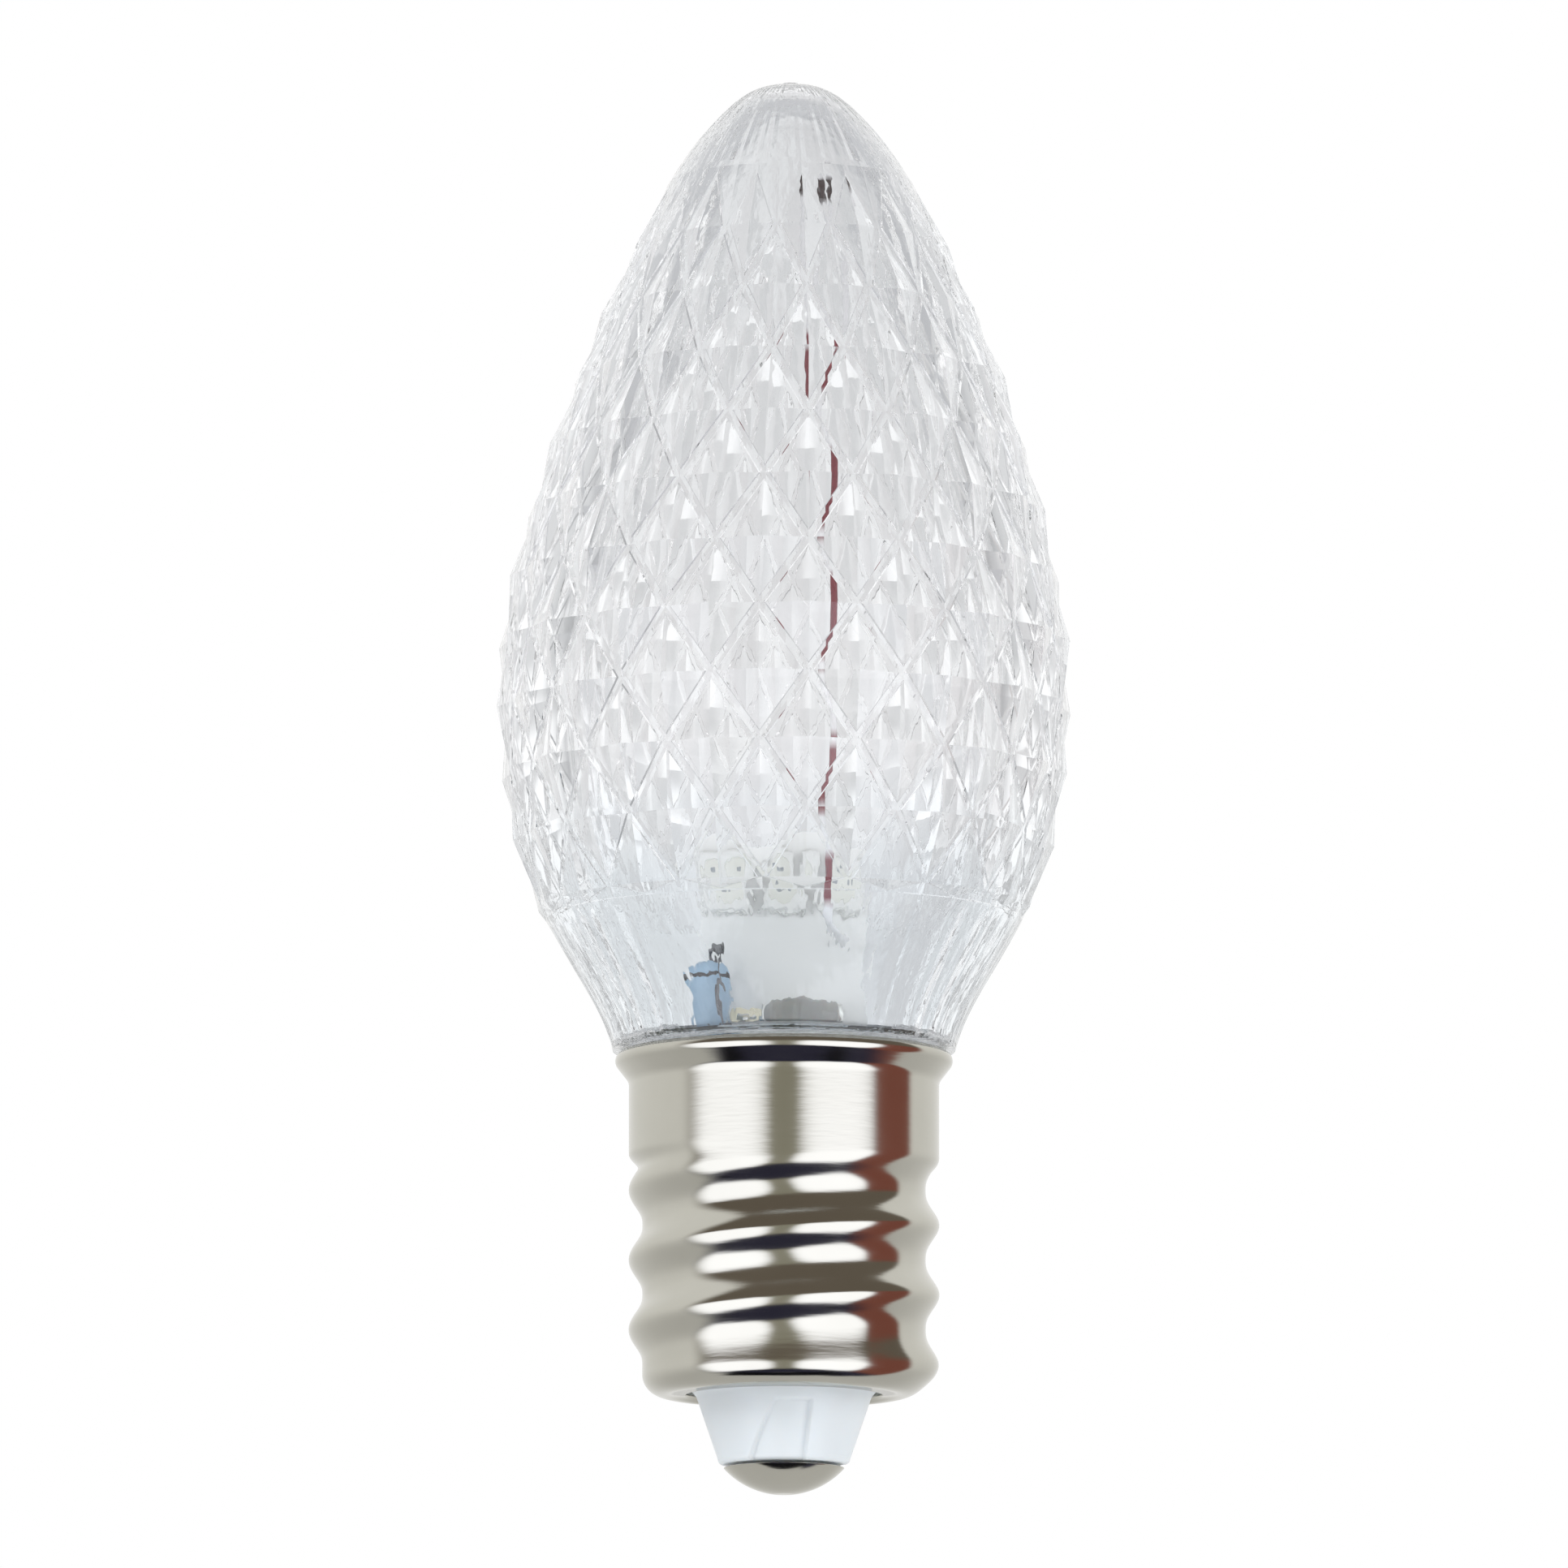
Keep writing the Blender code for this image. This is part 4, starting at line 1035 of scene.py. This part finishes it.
def ring(radius, height, sunk=0.0, fluted=0.0, fluted_in_front=0.0):
    """A ring of corners, in step with the lattice but finer, sunk or fluted if asked."""
    count = columns * smooth_columns_each
    corners = []
    for i in range(count):
        angle = -math.pi / 2 - column_angle / 2 + i / count * 2 * math.pi
        ripple = sum(math.cos(number * angle + number) for number in flutes) + len(flutes)
        share = max(fluted_in_front, fluted * step(abs(math.cos(angle)), 0.45, 0.70))
        reach = radius - sunk - flute_depth * share * ripple
        corners.append(work.verts.new(around(reach, angle, height)))
    return corners


def hem(row, fine):
    """Faces between an end row of the lattice and a fine ring."""
    for column in range(columns):
        first = column * smooth_columns_each
        edge = [fine[(first + i) % len(fine)] for i in range(smooth_columns_each + 1)]
        following = lattice[row, (column + 1) % columns]
        work.faces.new((lattice[row, column], following, *reversed(edge)))


def cap(fine, height):
    """A fan of faces from a ring to a point on the axis."""
    middle = work.verts.new((0.0, 0.0, height))
    for i in range(len(fine)):
        work.faces.new((fine[i], fine[(i + 1) % len(fine)], middle))


crown = [
    ring(*point, fluted_in_front=crown_fluting * step(point[0], gate_radius, gate_radius * 4))
    for point in lens_outline
    if point[1] > rows[-1] and point[0] > gate_radius
]
crown.insert(0, ring(gate_radius, dome_top))
crown.insert(0, ring(gate_radius * 0.9, lens_tip))
bridge(work, crown)
cap(crown[0], lens_tip)
hem(top_row, crown[-1])

bore_outline = []
for before, point, after in zip(lens_outline, lens_outline[1:], lens_outline[2:]):
    along = Vector((after[0] - before[0], after[1] - before[1])).normalized()
    radius, height = point[0] + lens_wall * along[1], point[1] - lens_wall * along[0]
    if radius > lens_wall / 4 and height > lens_foot + neck_taper:
        bore_outline.append((radius, height))
half_taper = neck_taper / 2
bore_outline += bezier(
    bore_outline[-1],
    (bore_outline[-1][0] - neck_taper / 5, lens_foot + half_taper),
    (neck_bore, lens_foot + half_taper),
    (neck_bore, lens_foot - half_taper),
    12,
)[1:]
bore_outline.append((neck_bore, lens_foot - half_taper))
foot_rings = []
for radius, height in lens_outline:
    drop = rows[0] - height
    if drop > 0:
        sunk = channel_depth * low_share * (1 - step(drop, 0.0, foot_blend))
        fluted = step(drop, 0.0, flute_end) * step(height - lens_foot, 0.0, flute_start)
        foot_rings.append(ring(radius, height, sunk, fluted))
hem(0, foot_rings[0])
bore_rings = [ring(*point) for point in bore_outline]
neck = ((neck_radius, lens_foot), (neck_radius, neck_bottom), (neck_bore, neck_bottom))
bridge(work, [*foot_rings, *[ring(*point) for point in neck], *reversed(bore_rings)])
cap(bore_rings[0], lens_tip - lens_wall)
lens = finished("lens_shell", work, lens_plastic, 3.0)
for vertex in lens.data.vertices:
    vertex.co.x += lens_lean * step(vertex.co.z, belly[1], belly[1] + lean_height)
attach(lens, "root")
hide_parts("lens_cover")

# Lens cement
# A ring of milky cement that holds the lens: it is run into the screw shell, squeezed up round the
# neck when the lens is pushed in, and left to set.
cement, tree, shader = material_nodes("milky_cement")
mottled(shader, "Base Color", noise(tree, 700.0), (0.78, 0.79, 0.81), (0.86, 0.87, 0.88))
shader.inputs["Roughness"].default_value = 0.35
bump(shader, noise(tree, 1500.0), 0.2, 0.00003)
shell_bore = thread_radius - shell_sheet
cement_gap = 0.00002
cement_bottom = neck_bottom + 0.0005
cement_rise = 0.0004
cement_reach = 0.00012
cement_columns = 96
cement_ring = lathe(
    "lens_cement",
    [
        (neck_radius + cement_gap, cement_bottom),
        (neck_radius + cement_gap, rim_top - cement_gap),
        (rim_radius - rim_bend - shell_sheet * 0.6, rim_top - cement_gap),
        (shell_bore + cement_reach, band_top + cement_rise),
        (shell_bore - cement_gap, band_top),
        (shell_bore - cement_gap, cement_bottom),
    ],
    cement_columns,
    cement,
    closed=True,
)
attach(cement_ring, "root")

# Floor, light and camera
# A pale floor below the bulb, which is held up as a lamp holder holds it, soft light from both
# front sides and behind, and a long lens at the photograph's angle, a little below the bulb.
floor_height = -0.080
floor_size = 1.0
floor_paper, tree, shader = material_nodes("floor_paper")
shader.inputs["Base Color"].default_value = (0.86, 0.86, 0.86, 1.0)
shader.inputs["Roughness"].default_value = 0.9
bpy.ops.mesh.primitive_plane_add(size=floor_size, location=(0.0, 0.0, floor_height))
floor = bpy.context.active_object
floor.name = "floor"
floor.data.materials.append(floor_paper)
floor.visible_glossy = False


def lamp(name, place, size, power):
    """A square soft lamp, aimed at the bulb's middle, that its metal and its lens don't show."""
    data = bpy.data.lights.new(name, "AREA")
    data.size = size
    data.energy = power
    light = placed(name, data)
    light.location = place
    light.rotation_euler = (bulb_middle - Vector(place)).to_track_quat("-Z", "Y").to_euler()
    light.visible_glossy = False
    light.visible_transmission = False
    light.visible_camera = False


bulb_middle = Vector((0.0, 0.0, lens_tip / 2))
lamp("key", (-0.35, -0.45, 0.40), 0.35, 2.7)
lamp("fill", (0.45, -0.35, 0.15), 0.35, 1.4)
lamp("back", (0.10, 0.45, 0.35), 0.30, 1.4)

world = bpy.data.worlds.new("studio")
world.use_nodes = True
scene.world = world
sky = world.node_tree
sky.nodes.clear()


def sky_math(operation, *inputs):
    node = sky.nodes.new("ShaderNodeMath")
    node.operation = operation
    for socket, value in zip(node.inputs, inputs):
        if isinstance(value, (int, float)):
            socket.default_value = value
        else:
            sky.links.new(value, socket)
    return node.outputs[0]


def sky_step(value, start, end):
    """A soft step from 0 at start to 1 at end, either way up."""
    node = sky.nodes.new("ShaderNodeMapRange")
    node.interpolation_type = "SMOOTHSTEP"
    low, high = sorted((start, end))
    node.inputs["From Min"].default_value = low
    node.inputs["From Max"].default_value = high
    node.inputs["To Min"].default_value = 0.0 if start < end else 1.0
    node.inputs["To Max"].default_value = 1.0 if start < end else 0.0
    sky.links.new(value, node.inputs["Value"])
    return node.outputs["Result"]


def sky_band(value, start, full, until, end):
    """1 from full to until, with a soft step up before it and another down after it."""
    return sky_math("MULTIPLY", sky_step(value, start, full), sky_step(value, end, until))


def sky_degrees(operation, *inputs):
    return sky_math("DIVIDE", sky_math(operation, *inputs), math.pi / 180)


def sky_mix(factor, first, second):
    node = sky.nodes.new("ShaderNodeMix")
    node.data_type = "RGBA"
    sky.links.new(factor, node.inputs["Factor"])
    for socket, colour in ((node.inputs[6], first), (node.inputs[7], second)):
        if isinstance(colour, tuple):
            socket.default_value = (*colour, 1.0)
        else:
            sky.links.new(colour, socket)
    return node.outputs[2]


direction = sky.nodes.new("ShaderNodeTexCoord")
split = sky.nodes.new("ShaderNodeSeparateXYZ")
sky.links.new(direction.outputs["Generated"], split.inputs[0])
east, north, up = split.outputs
azimuth = sky_degrees("ARCTAN2", east, sky_math("MULTIPLY", north, -1.0))
elevation = sky_degrees("ARCSINE", up)

panel_azimuth = 42.0
panel_reach = 32.0
panel_elevation = -18.0
panel_height = 30.0


def panel_share(angle, middle, reach):
    """How far out of a panel a view is along one angle, steep at its edges."""
    offset = sky_math("DIVIDE", sky_math("SUBTRACT", angle, middle), reach)
    return sky_math("POWER", sky_math("ABSOLUTE", offset), 4.0)


def surroundings(wall, panel, gap, table, room, strip):
    """Light walls all round; in front a room over a table, two panels and a strip beside them."""
    view = sky_mix(sky_step(elevation, -30, 0), table, room)
    between = sky_band(azimuth, -34, -20, 20, 34)
    level = sky_band(elevation, -52, -40, 8, 16)
    view = sky_mix(sky_math("MULTIPLY", between, level), view, gap)
    for side in (-1, 1):
        across = panel_share(azimuth, side * panel_azimuth, panel_reach)
        upward = panel_share(elevation, panel_elevation, panel_height)
        away = sky_math("ADD", across, upward)
        view = sky_mix(sky_step(away, 1.8, 0.3), view, panel)
    beside = sky_math("MULTIPLY", sky_step(azimuth, 68, 76), level)
    view = sky_mix(beside, view, strip)
    view = sky_mix(sky_step(elevation, -68, -76), view, wall)
    in_front = sky_band(azimuth, -84, -60, 104, 112)
    return sky_mix(in_front, wall, view)


mirrored = surroundings(
    wall=sky_mix(sky_step(elevation, -45, 25), (0.66, 0.655, 0.64), (0.98, 0.975, 0.96)),
    panel=(1.85, 1.87, 2.02),
    gap=(0.36, 0.345, 0.28),
    table=(0.036, 0.035, 0.062),
    room=(0.18, 0.15, 0.12),
    strip=(0.27, 0.095, 0.070),
)
hole = sky_band(north, -0.34, -0.30, 0.0, 0.04)
hole = sky_math("MULTIPLY", hole, sky_step(sky_math("ABSOLUTE", east), 0.56, 0.44))
hole = sky_math("MULTIPLY", hole, sky_step(up, -0.7, -0.8))
mirrored = sky_mix(hole, mirrored, (0.008, 0.008, 0.010))
# What shows through the lens: a backdrop that is lighter to the left, light below and grey above
# beside that, and dark far out and high up, so that the facets of each pyramid differ.
sideways = sky_degrees("ARCTAN2", east, north)
leftwards = sky_step(sideways, 5, -5)
backdrop = sky_mix(leftwards, (0.75, 0.75, 0.76), (0.86, 0.87, 0.88))
aside = sky_math("ABSOLUTE", sideways)
sides = sky_mix(sky_step(elevation, 4, 8), (1.10, 1.11, 1.12), (0.70, 0.71, 0.72))
backdrop = sky_mix(sky_step(aside, 12, 19), backdrop, sides)
backdrop = sky_mix(sky_step(aside, 50, 75), backdrop, (0.42, 0.43, 0.44))
backdrop = sky_mix(sky_step(elevation, 22, 34), backdrop, (0.55, 0.56, 0.58))
refracted = surroundings(
    wall=backdrop,
    panel=(1.90, 1.90, 1.90),
    gap=(0.80, 0.80, 0.80),
    table=(0.66, 0.66, 0.68),
    room=(0.70, 0.70, 0.70),
    strip=(0.64, 0.62, 0.62),
)

path = sky.nodes.new("ShaderNodeLightPath")
lighting = (0.62, 0.62, 0.63)
shown = sky_mix(path.outputs["Is Glossy Ray"], lighting, mirrored)
shown = sky_mix(path.outputs["Is Transmission Ray"], shown, refracted)
shown = sky_mix(path.outputs["Is Camera Ray"], shown, (1.0, 1.0, 1.0))
background = sky.nodes.new("ShaderNodeBackground")
sky.links.new(shown, background.inputs["Color"])
output = sky.nodes.new("ShaderNodeOutputWorld")
sky.links.new(background.outputs[0], output.inputs["Surface"])

photo_pixels = 1932
bulb_top_pixel = 98
bulb_bottom_pixel = 1835
view_elevation = math.radians(-8.2)
view_distance = 0.55
metres_a_pixel = lens_tip * math.cos(view_elevation) / (bulb_bottom_pixel - bulb_top_pixel)
aim_height = (bulb_bottom_pixel - photo_pixels / 2) * metres_a_pixel / math.cos(view_elevation)
aim = Vector((0.0, 0.0, aim_height))
camera_data = bpy.data.cameras.new("camera")
camera_data.sensor_width = 36.0
camera_data.lens = camera_data.sensor_width * view_distance / (photo_pixels * metres_a_pixel)
camera_data.clip_start = 0.01
camera_data.clip_end = 20.0
camera = placed("camera", camera_data)
camera.location = aim + view_distance * Vector(
    (0.0, -math.cos(view_elevation), math.sin(view_elevation))
)
camera.rotation_euler = (aim - camera.location).to_track_quat("-Z", "Y").to_euler()
scene.camera = camera
scene.view_settings.view_transform = "Standard"

# Light turns many times inside the facets before it leaves them, so it is followed for longer than
# usual, and sharp reflections are not blurred, which would keep light out of the lens.
scene.cycles.max_bounces = 24
scene.cycles.transmission_bounces = 24
scene.cycles.glossy_bounces = 16
scene.cycles.blur_glossy = 0.0
